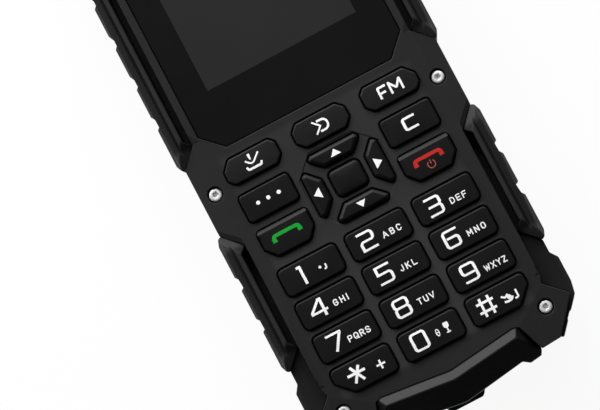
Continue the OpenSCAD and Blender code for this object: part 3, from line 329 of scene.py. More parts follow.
def printed_board(name, mask, copper):
    """Green lacquer over copper: thin lines where a stretched cell pattern has its edges."""
    material, at, shader = finish_sheet(name)
    cells = at.make("ShaderNodeTexVoronoi", {"feature": "DISTANCE_TO_EDGE", "distance": "CHEBYCHEV"},
                    {"Vector": at, "Scale": 420.0})
    line = cells < 0.05
    line.mix(mask, copper).feed(shader, "Base Color")
    (0.45 - line * 0.15).feed(shader, "Roughness")
    return material


BAND_LOW, BAND_HIGH = -30.0 * MM, -4.0 * MM


def wrapped(name, tone, band):
    """Printed film round the cells: a pale band across it and a faint crease in its gloss."""
    material, at, shader = finish_sheet(name)
    along = at.make("ShaderNodeSeparateXYZ", {}, {0: at}, 1)
    inside = (along > BAND_LOW) * (along < BAND_HIGH)
    crease = at.make("ShaderNodeTexNoise", {}, {"Vector": at, "Scale": 120.0, "Detail": 4.0})
    (inside * 0.85 + crease * 0.1).mix(tone, band).feed(shader, "Base Color")
    (crease * 0.2 + 0.25).feed(shader, "Roughness")
    at.make("ShaderNodeBump", {}, {"Strength": 0.3, "Distance": 0.00005, "Height": crease}).feed(shader, "Normal")
    return material


steel = sheet_metal("stamped_steel", (0.62, 0.63, 0.65, 1.0), 0.32)
gold = sheet_metal("gold_plate", (0.83, 0.6, 0.22, 1.0), 0.25)
lining = moulded("lining_black", 0.02, 0.55, 0.0003, 0.00002)
INSIDE = {
    "steel": steel, "copper": gold, "mesh": sheet_metal("woven_mesh", (0.2, 0.2, 0.21, 1.0), 0.45),
    "board": printed_board("board_green", (0.012, 0.11, 0.05, 1.0), (0.10, 0.28, 0.12, 1.0)),
    "battery_wrap": wrapped("battery_film", (0.03, 0.05, 0.09, 1.0), (0.42, 0.45, 0.5, 1.0)),
    "foam": moulded("foam_black", 0.02, 0.8, 0.0005, 0.00006),
    "silicone": moulded("silicone_grey", 0.16, 0.5, 0.0004, 0.00001),
    "dome_film": moulded("dome_film", 0.55, 0.35, 0.001, 0.00001),
    "display": moulded("display_glass", 0.02, 0.2, 0.002, 0.000002),
    "frame_plastic": lining,
}
for node, slot in SLOT.items():
    if slot in INSIDE:
        solid = frame["nodes"][node].data
        solid.materials.clear()
        solid.materials.append(INSIDE[slot])


# The lens is one pane of black-backed glass let into the cover, with a bevelled rim,
# an ear slot at the top, and a window that is a shade lighter over the sleeping display.
LENS_HALF, LENS_LOW, LENS_HIGH = 24.6, -0.8, 65.4
LENS_CUT_LOW, LENS_CUT_HIGH = 4.6, 7.0
LENS_BACK, LENS_TOP, LENS_BEVEL = 16.1, 17.3, 0.3
WINDOW_HALF, WINDOW_LOW, WINDOW_HIGH = 18.1 * MM, 11.8 * MM, 60.8 * MM
EAR_HALF, EAR_SIDE, EAR_Y = 5.5, 0.5, 63.3


def rounded(corners, radius, steps=5):
    """Points and outward normals of a convex outline, each corner turned on an arc of that radius or of its own:
    the arc's centre lies radius / cos(half the turn) in from the corner, and steps + 1 points go round it."""
    corners = np.asarray(corners, float)
    radius = np.broadcast_to(np.asarray(radius, float), len(corners))[:, None]
    come = unit(corners - np.roll(corners, 1, 0))
    go = unit(np.roll(corners, -1, 0) - corners)
    turn = np.arccos(np.clip((come * go).sum(1), -1, 1))
    left = np.stack([-come[:, 1], come[:, 0]], 1)
    middle = corners - come * radius * np.tan(turn / 2)[:, None] + left * radius
    angle = turn[:, None] * np.linspace(0, 1, steps + 1)
    c, s = np.cos(angle), np.sin(angle)
    normal = -np.stack([left[:, :1] * c - left[:, 1:] * s, left[:, :1] * s + left[:, 1:] * c], -1)
    points = middle[:, None, :] + radius[:, None] * normal
    return points.reshape(-1, 2), normal.reshape(-1, 2)


def cut_block(wide, high, bl=0.0, br=0.0, tr=0.0, tl=0.0):
    """Corners of a block that is wide by high, with its corners cut by (across, along)."""
    w, h = wide / 2, high / 2
    corners = []
    for (sx, sy), cut, first_along in (((-1, -1), bl, True), ((1, -1), br, False), ((1, 1), tr, True),
                                       ((-1, 1), tl, False)):
        cx, cy = cut if isinstance(cut, tuple) else (cut, cut)
        along_side, along_end = (sx * w, sy * (h - cy)), (sx * (w - cx), sy * h)
        corners += [(sx * w, sy * h)] if cx == 0 else (
            [along_side, along_end] if first_along else [along_end, along_side])
    return np.array(corners)


def lay(points, z):
    """Flat points set at a height."""
    return np.concatenate([points, np.broadcast_to(np.reshape(z, (-1, 1)), (len(points), 1))], 1)


def skin(rings, start="open", end="open"):
    """Vertices and faces of a surface through rings of equal length. Each end is open, a flat face or a point."""
    rings = np.asarray(rings, float)
    rows, count = rings.shape[:2]
    index = np.arange(rows * count).reshape(rows, count)
    ahead = np.roll(index, -1, 1)
    faces = np.stack([index[:-1], ahead[:-1], ahead[1:], index[1:]], -1).reshape(-1, 4).tolist()
    points = rings.reshape(-1, 3)
    for how, row, flip in ((start, 0, True), (end, rows - 1, False)):
        if how == "face":
            faces.append(index[row][::-1].tolist() if flip else index[row].tolist())
        elif how == "point":
            tip = len(points)
            points = np.concatenate([points, rings[row].mean(0, keepdims=True)])
            pairs = np.stack([index[row], ahead[row], np.full(count, tip)], -1)
            faces += (pairs[:, ::-1] if flip else pairs).tolist()
    return points, faces


def piece_of(name, skins, material, body, nodes=(), crease=35.0):
    """One object from skins in mm: joined, put into metres, shaded smooth but for its creases, and set on its
    body."""
    points, faces = [], []
    for skin_points, skin_faces in skins:
        start = sum(len(p) for p in points)
        points.append(skin_points)
        faces += [[start + i for i in face] for face in skin_faces]
    mesh = bpy.data.meshes.new(name)
    mesh.from_pydata((np.concatenate(points) * MM).tolist(), [], faces)
    mesh.materials.append(material)
    mesh.shade_smooth()
    mesh.set_sharp_from_angle(angle=math.radians(crease))
    piece = bpy.data.objects.new(name, mesh)
    bpy.context.scene.collection.objects.link(piece)
    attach(piece, body)
    if nodes:
        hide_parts(*nodes)
    return piece


def pane_glass(name):
    """Black-backed glass, with the sleeping display's window a shade lighter and soft at its edge."""
    material, at, shader = finish_sheet(name)
    x, y = (at.make("ShaderNodeSeparateXYZ", {}, {0: at}, axis) for axis in (0, 1))
    window = (at.math("ABSOLUTE", x) < WINDOW_HALF) * (y > WINDOW_LOW) * (y < WINDOW_HIGH)
    dust = at.make("ShaderNodeTexNoise", {}, {"Vector": at, "Scale": 40.0, "Detail": 3.0})
    (window * 0.8 + dust * 0.2).mix(grey(0.0027), grey(0.022)).feed(shader, "Base Color")
    shader.inputs["Specular IOR Level"].default_value = 0.4
    (dust * 0.08 + 0.12).feed(shader, "Roughness")
    return material


lens_outline = cut_block(2 * LENS_HALF, LENS_HIGH - LENS_LOW, LENS_CUT_LOW, LENS_CUT_LOW, LENS_CUT_HIGH,
                         LENS_CUT_HIGH) + [0, (LENS_LOW + LENS_HIGH) / 2]
rim, out = rounded(lens_outline, 0.6, 3)
toward = np.arctan2(*(rim - [0, EAR_Y]).T[::-1])
slot_way = np.stack([np.cos(toward), np.sin(toward)], 1)
reach = np.minimum(EAR_HALF / np.maximum(np.abs(slot_way[:, 0]), 1e-6),
                   EAR_SIDE / np.maximum(np.abs(slot_way[:, 1]), 1e-6))
ear_slot = slot_way * reach[:, None] + [0, EAR_Y]
lens_rings = [lay(ear_slot, LENS_BACK), lay(rim, LENS_BACK), lay(rim, LENS_TOP - LENS_BEVEL),
              lay(rim - 0.1 * out, LENS_TOP - 0.09), lay(rim - LENS_BEVEL * out, LENS_TOP),
              lay(rim - (LENS_BEVEL + 0.03) * out, LENS_TOP), lay(ear_slot, LENS_TOP), lay(ear_slot, LENS_BACK)]
piece_of("lens_pane", [skin(lens_rings)], pane_glass("pane_black"), "case", ["display_lens"])


# Twenty-four hard caps, each moulded with its flange and stem: number keys with a soft
# crown, call keys with a bevel along the top, pad keys with chamfers and a domed middle.
FLANGE_LOW, FLANGE_HIGH, FLANGE_OUT = 15.1, 15.9, 0.6
STEM_TIP, STEM_R = 11.3, 1.3
CAP_TOP = 18.5
ROWS = (-33.0, -41.05, -49.1, -57.15)
COLUMNS = (-16.2, 0.0, 16.2)
PAD_Y = -19.15


def pad_key(inner, outer, half, core, turn, cut=0.95):
    """Trapezium of the pad: its inner edge, outer edge and half widths, turned by quarter turns."""
    p = np.array([(inner, -core), (outer - cut, -half), (outer, -half + 0.8 * cut), (outer, half - 0.8 * cut),
                  (outer - cut, half), (inner, core)])
    c, s = round(math.cos(turn * math.pi / 2)), round(math.sin(turn * math.pi / 2))
    return p @ np.array([[c, s], [-s, c]])


def mirrored(outline):
    """The outline with its left and right changed over, still turning the same way round."""
    return outline[::-1] * [-1, 1]


SOFT_X, SOFT_Y, SIDE_X, MENU_Y, CALL_Y = 16.75, -6.4, 17.1, -14.95, -23.7
NUMBER_R, SOFT_R, PAD_R = 1.1, 0.8, 0.6
number, star = cut_block(13.8, 6.3), cut_block(13.8, 6.3, bl=3.4)
soft = cut_block(12.7, 5.6, 1.3, 1.5, 1.2, (2.0, 2.2))
menu = cut_block(11.8, 6.3)
call, CALL_R = cut_block(11.8, 6.6, (2.1, 2.4), (2.1, 2.4)), (0.8, 0.8, 0.8, 0.8, 0.4, 0.4)
KEYS = {f"key_{row * 3 + column + 1}": (number, (COLUMNS[column], ROWS[row]), NUMBER_R, "crown")
        for row in range(3) for column in range(3)}
KEYS.update({
    "key_star": (star, (COLUMNS[0], ROWS[3]), NUMBER_R, "crown"),
    "key_0": (number, (COLUMNS[1], ROWS[3]), NUMBER_R, "crown"),
    "key_hash": (mirrored(star), (COLUMNS[2], ROWS[3]), NUMBER_R, "crown"),
    "key_soft_left": (soft, (-SOFT_X, SOFT_Y), SOFT_R, "crown"),
    "key_soft_right": (mirrored(soft), (SOFT_X, SOFT_Y), SOFT_R, "crown"),
    "key_top": (cut_block(12.7, 5.6, 1.6, 1.6, 1.6, 1.6), (0.0, SOFT_Y), SOFT_R, "crown"),
    "key_menu": (menu, (-SIDE_X, MENU_Y), SOFT_R, "crown"),
    "key_clear": (menu, (SIDE_X, MENU_Y), SOFT_R, "crown"),
    "key_call": (call, (-SIDE_X, CALL_Y), CALL_R, "bevel"),
    "key_end": (call, (SIDE_X, CALL_Y), CALL_R, "bevel"),
    "nav_right": (pad_key(5.3, 9.0, 5.3, 2.4, 0), (0.0, PAD_Y), PAD_R, "chamfer"),
    "nav_up": (pad_key(4.45, 8.0, 6.15, 3.4, 1), (0.0, PAD_Y), PAD_R, "chamfer"),
    "nav_left": (pad_key(5.3, 9.0, 5.3, 2.4, 2), (0.0, PAD_Y), PAD_R, "chamfer"),
    "nav_down": (pad_key(4.45, 8.0, 6.15, 3.4, 3), (0.0, PAD_Y), PAD_R, "chamfer"),
    "nav_ok": (cut_block(7.2, 6.0), (0.0, PAD_Y), NUMBER_R, "dome"),
})
CROWN = {"crown": 0.16, "bevel": 0.14, "chamfer": 0.05, "dome": 0.5}
quarter = np.linspace(0, math.pi / 2, 7)
SHOULDER = {
    "crown": (0.34 * (1 - np.cos(quarter)), -0.34 + 0.34 * np.sin(quarter)),
    "bevel": (0.4 * (1 - np.cos(quarter)), -0.36 + 0.36 * np.sin(quarter)),
    "chamfer": (np.array([0, 0.03, 0.1, 0.34, 0.58, 0.65, 0.7]),
                np.array([-0.55, -0.44, -0.35, -0.2, -0.05, -0.015, 0])),
    "dome": (0.7 * (1 - np.cos(quarter)), -0.4 + 0.4 * np.sin(quarter)),
}
STRIP = (np.array([0, 0.02, 0.08, 0.4, 0.72, 0.77, 0.8]), np.array([-0.6, -0.53, -0.45, -0.25, -0.045, -0.015, 0]))
STRIP_PROUD, STRIP_FOOT, STRIP_POINTS = 0.12, 0.92, 12
CROWN_FROM, DRAWN_IN = 0.2, (0.94, 0.86, 0.75, 0.6, 0.45, 0.3, 0.15)


def crown_rise(key, points):
    """Rise of a key's top over its rim: the crown's height times (1 - X*X)(1 - Y*Y), where X and Y run
    from -1 to 1 across the key."""
    outline, centre, _, style = KEYS[key]
    low, high = outline.min(0), outline.max(0)
    share = (points - centre - (low + high) / 2) / ((high - low) / 2)
    bow = np.clip(1 - share ** 2, 0, 1).prod(1)
    return CROWN[style] * (np.sqrt(bow) if style == "dome" else bow)


def rim_height(key):
    """Height of the rim that the crown rises from: the cap's top less the crown."""
    return CAP_TOP - CROWN[KEYS[key][3]]


def cap(key):
    """The moulding as rings round the key's outline: stem, flange and wall, then the shoulder's profile carried
    along the outline, then the same ring drawn in to the middle over the crown. A bevelled key's upper edge is a
    sloped strip instead, proud of the outline and cut square at both ends: its rings step straight down the key."""
    outline, centre, radius, style = KEYS[key]
    path, normal = rounded(outline + centre, radius)
    strip = np.zeros(len(path), bool)
    if style == "bevel":
        foot, sides = path[:, 1].max() - STRIP_FOOT, np.array([[1.0, 0.0], [-1.0, 0.0]])
        ends = np.array([[path[:, 0].max(), foot], [path[:, 0].min(), foot]])
        path = np.concatenate([path[:-STRIP_POINTS], ends[:1], path[-STRIP_POINTS:], ends[1:]])
        normal = np.concatenate([normal[:-STRIP_POINTS], sides[:1], normal[-STRIP_POINTS:], sides[1:]])
        strip = path[:, 1] > foot
    proud = path[:, 1] + STRIP_PROUD * normal[:, 1]
    middle = (outline.min(0) + outline.max(0)) / 2 + centre
    spoke = unit(path - middle)
    top = rim_height(key)
    rings = [lay(middle + 0.8 * STEM_R * spoke, STEM_TIP), lay(middle + STEM_R * spoke, STEM_TIP + 0.2),
             lay(middle + STEM_R * spoke, FLANGE_LOW), lay(path + FLANGE_OUT * normal, FLANGE_LOW),
             lay(path + FLANGE_OUT * normal, FLANGE_HIGH), lay(path, FLANGE_HIGH)]
    for d, z, strip_d, strip_z in zip(*SHOULDER[style], *STRIP):
        sloped = np.stack([path[:, 0], np.minimum(proud, proud.max() - strip_d)], 1)
        edge = np.where(strip[:, None], sloped, path - normal * d)
        rise = crown_rise(key, edge) if d > CROWN_FROM else 0.0
        rings.append(lay(edge, top + np.where(strip, strip_z, z) + rise))
    for share in DRAWN_IN:
        inner = middle + (edge - middle) * share
        rings.append(lay(inner, top + crown_rise(key, inner)))
    return skin(rings, "face", "point")


cap_black = moulded("cap_black", 0.007, 0.42, 0.00016, 0.000012, 0.144)
# The top row of keys is a paler copy of the cap plastic: painted light on those keys.
top_row_painted_light = moulded("top_row_painted_light", 0.0116, 0.42, 0.00016, 0.000012, 0.144)
TOP_ROW = ("key_soft_left", "key_top", "key_soft_right")
for key in KEYS:
    plastic = top_row_painted_light if key in TOP_ROW else cap_black
    piece_of(key + "_cap", [cap(key)], plastic, BODY[key], [key])


# Legends are printed in hard ink on the caps: squared figures with small letters beside
# them, plain signs for menu, arrows and the handset, green to call and red to end.
INK_LIFT, INK_SINK = 0.02, 0.1
FIGURES = {
    "1": ".7,.97 .7,-.03|.54,.97 .7,.97",
    "2": "0,.99 .87,.99 1,.89 1,.6 .87,.5 .13,.5 0,.4 0,0|0,0 .98,0",
    "3": "0,.95 .83,.95 .95,.85 .95,.55 .82,.45 .12,.45|.82,.45 .95,.35 .95,.05 .83,-.05 0,-.05",
    "4": ".91,.04 .91,1|.8,1 .91,1|.74,.95 .08,.45|.02,.38 .02,.31|.02,.31 1.1,.31",
    "5": ".96,1 0,1|0,1 0,.56|0,.56 .86,.56 .98,.46 .98,.1 .86,.01 0,.01",
    "6": ".95,.98 .08,.98 -.04,.88 -.04,.13 .08,.03 .83,.03 .95,.13 .95,.46 .83,.56 .22,.56",
    "7": ".12,1 1.12,1 .39,.05",
    "8": ".08,.52 -.05,.62 -.05,.9 .07,1 .85,1 .97,.9 .97,.62 .84,.52 .08,.52 -.05,.42 -.05,.1 .07,0 .85,0 .97,.1 "
         ".97,.42 .84,.52",
    "9": "0,0 .82,0 .95,.1 .95,.88 .83,.98 .06,.98 -.06,.88 -.06,.54 .06,.44 .95,.44",
    "0": ".5,.02 .07,.02 -.05,.12 -.05,.9 .07,1 .85,1 .97,.9 .97,.12 .85,.02 .5,.02",
}
LETTERS = {
    "A": "0,0 2.4,6 4.8,0|1,1.8 3.8,1.8", "B": "0,3.1 2.8,3.1 3.8,4 3.8,5.2 2.8,6 0,6 0,0 3,0 4,.9 4,2.2 2.8,3.1",
    "C": "4,4.8 3,6 1,6 0,4.8 0,1.2 1,0 3,0 4,1.2", "D": "0,0 0,6 2.6,6 4,4.6 4,1.4 2.6,0 0,0",
    "E": "3.8,6 0,6 0,0 3.8,0|0,3.1 3.3,3.1", "F": "3.8,6 0,6 0,0|0,3.1 3.2,3.1",
    "G": "4,4.8 3,6 1,6 0,4.8 0,1.2 1,0 3,0 4,1 4,2.8 2.2,2.8", "H": "0,0 0,6|4,0 4,6|0,3.1 4,3.1", "I": "0,0 0,6",
    "J": "0,1.2 .8,0 2.2,0 3,1.2 3,6", "K": "0,0 0,6|3.9,6 .2,2.6|1.4,3.6 4,0", "L": "0,6 0,0 3.6,0",
    "M": "0,0 0,6 2.4,1.6 4.8,6 4.8,0", "N": "0,0 0,6 4,0 4,6",
    "O": "2,0 1,0 0,1.2 0,4.8 1,6 3,6 4,4.8 4,1.2 3,0 2,0", "P": "0,0 0,6 2.9,6 4,5.1 4,3.5 2.9,2.6 0,2.6",
    "Q": "2,0 1,0 0,1.2 0,4.8 1,6 3,6 4,4.8 4,1.2 3,0 2,0|2.4,1.6 4.2,-.4",
    "R": "0,0 0,6 2.9,6 4,5.1 4,3.6 2.9,2.8 0,2.8|2.2,2.8 4.1,0",
    "S": "3.9,4.9 3,6 1,6 0,5 0,4.1 1,3.3 3,2.8 4,2 4,1 3,0 1,0 0,1.1", "T": "2,0 2,6|0,6 4,6",
    "U": "0,6 0,1.2 1,0 3,0 4,1.2 4,6", "V": "0,6 2.3,0 4.6,6", "W": "0,6 1.3,0 2.7,5.4 4.1,0 5.4,6",
    "X": "0,0 4,6|0,6 4,0", "Y": "0,6 2,3 4,6|2,3 2,0", "Z": "0,6 4,6 0,0 4,0",
}
FIGURE_W, FIGURE_H, FIGURE_BEND, FIGURE_SIDE, FIGURE_RISE = 3.04, 3.75, 0.22, -2.67, 0.12
UPRIGHT_AND_BAR = np.array([0.64, 0.5])
LETTER_STEP, LETTER_STROKE, LETTER_BEND, LETTER_DROP = 0.2, 0.26, 0.12, -1.07


def strokes(drawing):
    """The lines of a drawing as arrays of points."""
    return [np.array([[float(v) for v in point.split(",")] for point in line.split()]) for line in drawing.split("|")]


def eased(line, radius, step=0.5):
    """A line with each inner corner turned on a short curve, (1-s)^2 a + 2s(1-s) corner + s^2 b, and its straights
    filled with points a step apart."""
    reach = np.minimum(radius / np.maximum(np.linalg.norm(np.diff(line, axis=0), axis=1), 1e-9), 0.45)[:, None]
    before = line[1:-1] + (line[:-2] - line[1:-1]) * reach[:-1]
    after = line[1:-1] + (line[2:] - line[1:-1]) * reach[1:]
    s = np.linspace(0, 1, 5)[:, None, None]
    bends = ((1 - s) ** 2 * before + 2 * s * (1 - s) * line[1:-1] + s ** 2 * after).transpose(1, 0, 2).reshape(-1, 2)
    line = np.concatenate([line[:1], bends, line[-1:]])
    length = np.concatenate([[0], np.cumsum(np.linalg.norm(np.diff(line, axis=0), axis=1))])
    count = max(int(length[-1] / step), 1)
    stops = np.unique(np.round(np.concatenate([length, np.linspace(0, length[-1], count + 1)]), 4))
    stops = stops[np.concatenate([[True], np.diff(stops) > 0.03])]
    return np.stack([np.interp(stops, length, line[:, i]) for i in (0, 1)], 1)


def ink(key, line, width, radius=0.25, flush=False):
    """A stroke: a flat bar of that width carried along the line and laid over the key's crown. Each point moves
    half the width along the mitre of the two runs that meet there, and flush ends go half the width further. The
    width may be a pair, for upright and level runs, or a function of the line's points."""
    line = eased(np.asarray(line, float), radius)
    run = unit(np.diff(line, axis=0))
    if flush:
        line[0], line[-1] = line[0] - run[0] * width / 2, line[-1] + run[-1] * width / 2
    side = np.stack([-run[:, 1], run[:, 0]], 1)
    first, last = np.concatenate([side[:1], side]), np.concatenate([side, side[-1:]])
    mitre = (first + last) / np.maximum(1 + (first * last).sum(1, keepdims=True), 0.5)
    mitre *= (width(line) if callable(width) else width) / 2
    left, right = line + mitre, line - mitre
    floor, top = rim_height(key) - INK_SINK, rim_height(key) + INK_LIFT
    corners = [lay(left, top + crown_rise(key, left)), lay(right, top + crown_rise(key, right)),
               lay(right, floor + crown_rise(key, right)), lay(left, floor + crown_rise(key, left))]
    return skin(np.stack(corners, 1), "face", "face")


def ink_plate(key, outline):
    """A filled sign: its outline set at two heights over the crown and closed with flat faces."""
    outline = np.asarray(outline, float)
    rise = crown_rise(key, outline)
    return skin([lay(outline, rim_height(key) - INK_SINK + rise), lay(outline, rim_height(key) + INK_LIFT + rise)],
                "face", "face")


def ink_dot(key, spot, radius):
    """A round plate of that radius about the spot."""
    turn = np.linspace(0, 2 * math.pi, 20, endpoint=False)
    return ink_plate(key, np.asarray(spot) + radius * np.stack([np.cos(turn), np.sin(turn)], 1))


def figure(key, sign):
    """A squared figure, left of the key's middle."""
    corner = np.array(KEYS[key][1]) + [FIGURE_SIDE - FIGURE_W / 2, FIGURE_RISE - FIGURE_H / 2]
    return [ink(key, corner + line * [FIGURE_W, FIGURE_H], UPRIGHT_AND_BAR, FIGURE_BEND, True)
            for line in strokes(FIGURES[sign])]


def letters(key, word, start, stop, shift=0.0):
    """A short word in small letters, spread evenly from start to stop along the key and set a shift up or down."""
    drawn = [strokes(LETTERS[letter]) for letter in word]
    widths = [max(line[:, 0].max() for line in lines) * LETTER_STEP + LETTER_STROKE for lines in drawn]
    gap = (stop - start - sum(widths)) / (len(word) - 1)
    marks, x = [], start + LETTER_STROKE / 2
    for lines, width in zip(drawn, widths):
        foot = np.array([x, KEYS[key][1][1] + LETTER_DROP + shift])
        marks += [ink(key, foot + line * LETTER_STEP, LETTER_STROKE, LETTER_BEND, True) for line in lines]
        x += width + gap
    return marks


def ink_of(name, colour):
    """Hard printing ink: a slightly uneven coat with a soft gloss."""
    material, at, shader = finish_sheet(name)
    coat = at.make("ShaderNodeTexNoise", {}, {"Vector": at, "Scale": 2500.0, "Detail": 3.0})
    thin = tuple(0.92 * c for c in colour[:3]) + (1.0,)
    coat.mix(thin, colour).feed(shader, "Base Color")
    (coat * 0.2 + 0.35).feed(shader, "Roughness")
    shader.inputs["Specular IOR Level"].default_value = 0.2
    return material


def at_key(key, points):
    """Points given from the key's middle, set on the key."""
    return np.asarray(points, float) + KEYS[key][1]


WORDS = {"key_2": ("ABC", 0.68, 5.12), "key_3": ("DEF", 16.8, 20.7, -0.29), "key_4": ("GHI", -15.34, -11.86, 0.12),
         "key_5": ("JKL", 0.66, 4.56), "key_6": ("MNO", 16.8, 21.15), "key_7": ("PQRS", -16.12, -10.86, -0.08),
         "key_8": ("TUV", 0.66, 4.7), "key_9": ("WXYZ", 16.5, 21.76, -0.34)}
arc = np.linspace(0, 2 * math.pi, 25)
signs = {key: figure(key, key[4:]) + letters(key, *word) for key, word in WORDS.items()}
signs["key_1"] = figure("key_1", "1") + [ink_dot("key_1", (-14.28, -33.2), 0.32),
    ink("key_1", [(-12.98, -32.95), (-12.98, -33.9), (-13.5, -34.05)], 0.36)]
signs["key_star"] = [ink("key_star", at_key("key_star", line), 0.6) for line in (
    [(-3.8, 0.42), (0.36, 0.42)], [(-2.55, 2.02), (-0.6, -1.58)], [(-0.63, 1.8), (-2.76, -1.58)])] + [
    ink("key_star", line, 0.42) for line in ([(-13.41, -57.48), (-11.38, -57.48)], [(-12.4, -56.46), (-12.4, -58.52)])]
signs["key_0"] = figure("key_0", "0") + [
    ink("key_0", np.array([1.41, -57.2]) + np.stack([0.34 * np.cos(arc), 0.74 * np.sin(arc)], 1), 0.2, 0.01),
    ink("key_0", [(1.15, -57.2), (1.67, -57.2)], 0.2),
    ink_plate("key_0", [(3.2, -57.0), (3.45, -57.18), (3.92, -57.18), (4.17, -57.0), (4.28, -56.7), (4.28, -56.1),
                        (4.12, -55.88), (3.24, -55.88), (3.08, -56.1), (3.08, -56.7)]),
    ink("key_0", [(3.68, -57.1), (3.68, -58.1)], 0.3), ink("key_0", [(3.16, -58.1), (4.18, -58.1)], 0.28)]
signs["key_hash"] = [ink("key_hash", at_key("key_hash", line), 0.56) for line in (
    [(-4.95, 1.09), (-1.02, 1.09)], [(-4.95, -0.86), (-1.02, -0.86)], [(-3.86, 2.2), (-3.86, -2.0)],
    [(-1.96, 2.2), (-1.96, -2.0)])] + [
    ink("key_hash", [(16.75, -56.75), (17.5, -57.3), (18.3, -56.8)], 0.42),
    ink("key_hash", [(17.0, -58.1), (17.7, -58.3), (18.7, -58.2), (19.1, -57.6)], 0.5),
    ink_dot("key_hash", (18.35, -57.45), 0.5), ink("key_hash", [(20.2, -56.6), (20.2, -58.3), (19.4, -58.4)], 0.42)]
ARROW_STEM = [(-0.16, 0.6), (0.16, 0.6), (0.3, 1.6), (0.3, 1.83), (0.18, 1.95), (-0.18, 1.95), (-0.3, 1.83),
              (-0.3, 1.6)]
ARROW_TIP = [(-1.28, 0.8), (0.03, -0.48), (2.22, 1.42)]
TRAY = [(-1.52, -0.6), (-1.2, -1.3), (1.75, -1.3), (2.08, -0.65)]
signs["key_soft_left"] = [ink_plate("key_soft_left", at_key("key_soft_left", ARROW_STEM)),
    ink("key_soft_left", at_key("key_soft_left", ARROW_TIP), 0.38, 0.8),
    ink("key_soft_left", at_key("key_soft_left", TRAY), 0.5)]
signs["key_top"] = [ink("key_top", [(-1.55, -4.97), (-0.06, -6.44), (-1.55, -7.85)], 0.38, 0.08),
    ink("key_top", [(-0.5, -5.27), (1.0, -5.27), (1.65, -5.9), (1.65, -6.95), (1.0, -7.6), (-0.5, -7.6)], 0.47, 0.5)]
signs["key_soft_right"] = [ink("key_soft_right", line, 0.5) for line in (
    [(16.2, -5.2), (14.3, -5.2), (14.3, -7.7)], [(14.3, -6.5), (15.8, -6.5)],
    [(16.9, -7.7), (16.9, -5.1), (18.2, -6.8), (19.5, -5.1), (19.5, -7.7)])]
signs["key_menu"] = [ink_dot("key_menu", (x, -14.8), 0.46) for x in (-19.56, -17.1, -14.57)]
signs["key_clear"] = [ink("key_clear", [(18.68, -13.62), (16.1, -13.62), (15.82, -13.85), (15.82, -15.85),
    (16.1, -16.08), (18.68, -16.08)], UPRIGHT_AND_BAR)]
signs["nav_up"] = [ink_plate("nav_up", [(-1.22, -13.58), (1.22, -13.58), (0, -12.1)])]
signs["nav_down"] = [ink_plate("nav_down", [(0, -26.15), (1.12, -24.72), (-1.12, -24.72)])]
signs["nav_left"] = [ink_plate("nav_left", [(-8.3, -19.15), (-6.6, -20.38), (-6.6, -17.92)])]
signs["nav_right"] = [ink_plate("nav_right", [(6.45, -20.38), (8.22, -19.15), (6.45, -17.92)])]
HANDSET = np.array([(-3.02, -0.47), (-3.02, 0.9), (3.02, 0.9), (3.02, -0.47)]) - [0.06, 0.0]
BAR_W, EAR_GROWTH, EAR_DROP, BAR_BEND = 0.78, 0.26, 0.9, 0.65


def handset_width(points):
    """The bar's width, and evenly more down to the ear drop below it, where the ear and mouth ends are."""
    drop = np.clip((points[:, 1].max() - points[:, 1]) / EAR_DROP, 0, 1)
    return (BAR_W + EAR_GROWTH * drop)[:, None]


for key in ("key_call", "key_end"):
    signs[key] = [ink(key, at_key(key, HANDSET), handset_width, BAR_BEND)]
power = np.linspace(math.radians(125), math.radians(415), 21)
POWER_SPOT, POWER_R, POWER_STROKE = np.array([17.1, -24.85]), 0.84, 0.21
power_ring = POWER_SPOT + POWER_R * np.stack([np.cos(power), np.sin(power)], 1)
switch_mark = [ink("key_end", power_ring, POWER_STROKE, 0.01),
               ink("key_end", [POWER_SPOT + [0, 0.1], POWER_SPOT + [0, 1.05]], POWER_STROKE)]

ink_white, ink_green = ink_of("ink_white", grey(0.97)), ink_of("ink_green", (0.008, 0.33, 0.033, 1.0))
ink_red = ink_of("ink_red", (0.5, 0.022, 0.018, 1.0))
INKS = {"key_call": ink_green, "key_end": ink_red}
for key, marks in signs.items():
    piece_of(key + "_legend", marks, INKS.get(key, ink_white), BODY[key])
piece_of("key_end_switch_mark", switch_mark, ink_of("ink_pale_red", (0.42, 0.09, 0.07, 1.0)), BODY["key_end"])


# Six steel screws close the case: turned pan heads with a rolled edge and a six-lobed
# socket, sunk in counterbores beside the waist and in the four corners.
HEAD_R, HEAD_SEAT, HEAD_TOP, SHANK_R, SHANK_TIP = 1.45, 15.85, 17.15, 0.8, 4.6
CASE_SCREWS = [(s * x, y) for s in (-1, 1) for x, y in ((27.05, -8.9), (24.25, -63.0), (24.25, 63.0))]


def turned(spot, profile, count=36):
    """A turned piece: its profile of (radius, height) carried round a circle about the spot."""
    turn = np.linspace(0, 2 * math.pi, count, endpoint=False)
    circle = np.stack([np.cos(turn), np.sin(turn)], 1)
    return [lay(np.asarray(spot) + r * circle, z) for r, z in profile]


def screw(spot, seat, top, tip, up=1):
    """Shank, pan head and socket. The socket's radius swings by a tenth with six lobes: r(1 + cos(6a) / 9)."""
    turn = np.linspace(0, 2 * math.pi, 36, endpoint=False)
    circle = np.stack([np.cos(turn), np.sin(turn)], 1)
    lobes = (1 + np.cos(6 * turn) / 9)[:, None] * circle
    profile = [(0.5 * SHANK_R, tip), (SHANK_R, tip + 0.4 * up), (SHANK_R, seat), (HEAD_R, seat),
               (HEAD_R, top - 0.45 * up), (HEAD_R - 0.06, top - 0.27 * up), (HEAD_R - 0.2, top - 0.1 * up),
               (HEAD_R - 0.42, top), (0.9, top)]
    rings = turned(spot, profile)
    for r, z in ((0.74, top), (0.66, top - 0.08 * up), (0.62, top - 0.6 * up), (0.2, top - 0.75 * up)):
        rings.append(lay(np.asarray(spot) + r * lobes, z))
    return skin(rings if up > 0 else [ring[::-1] for ring in rings], "face", "point")


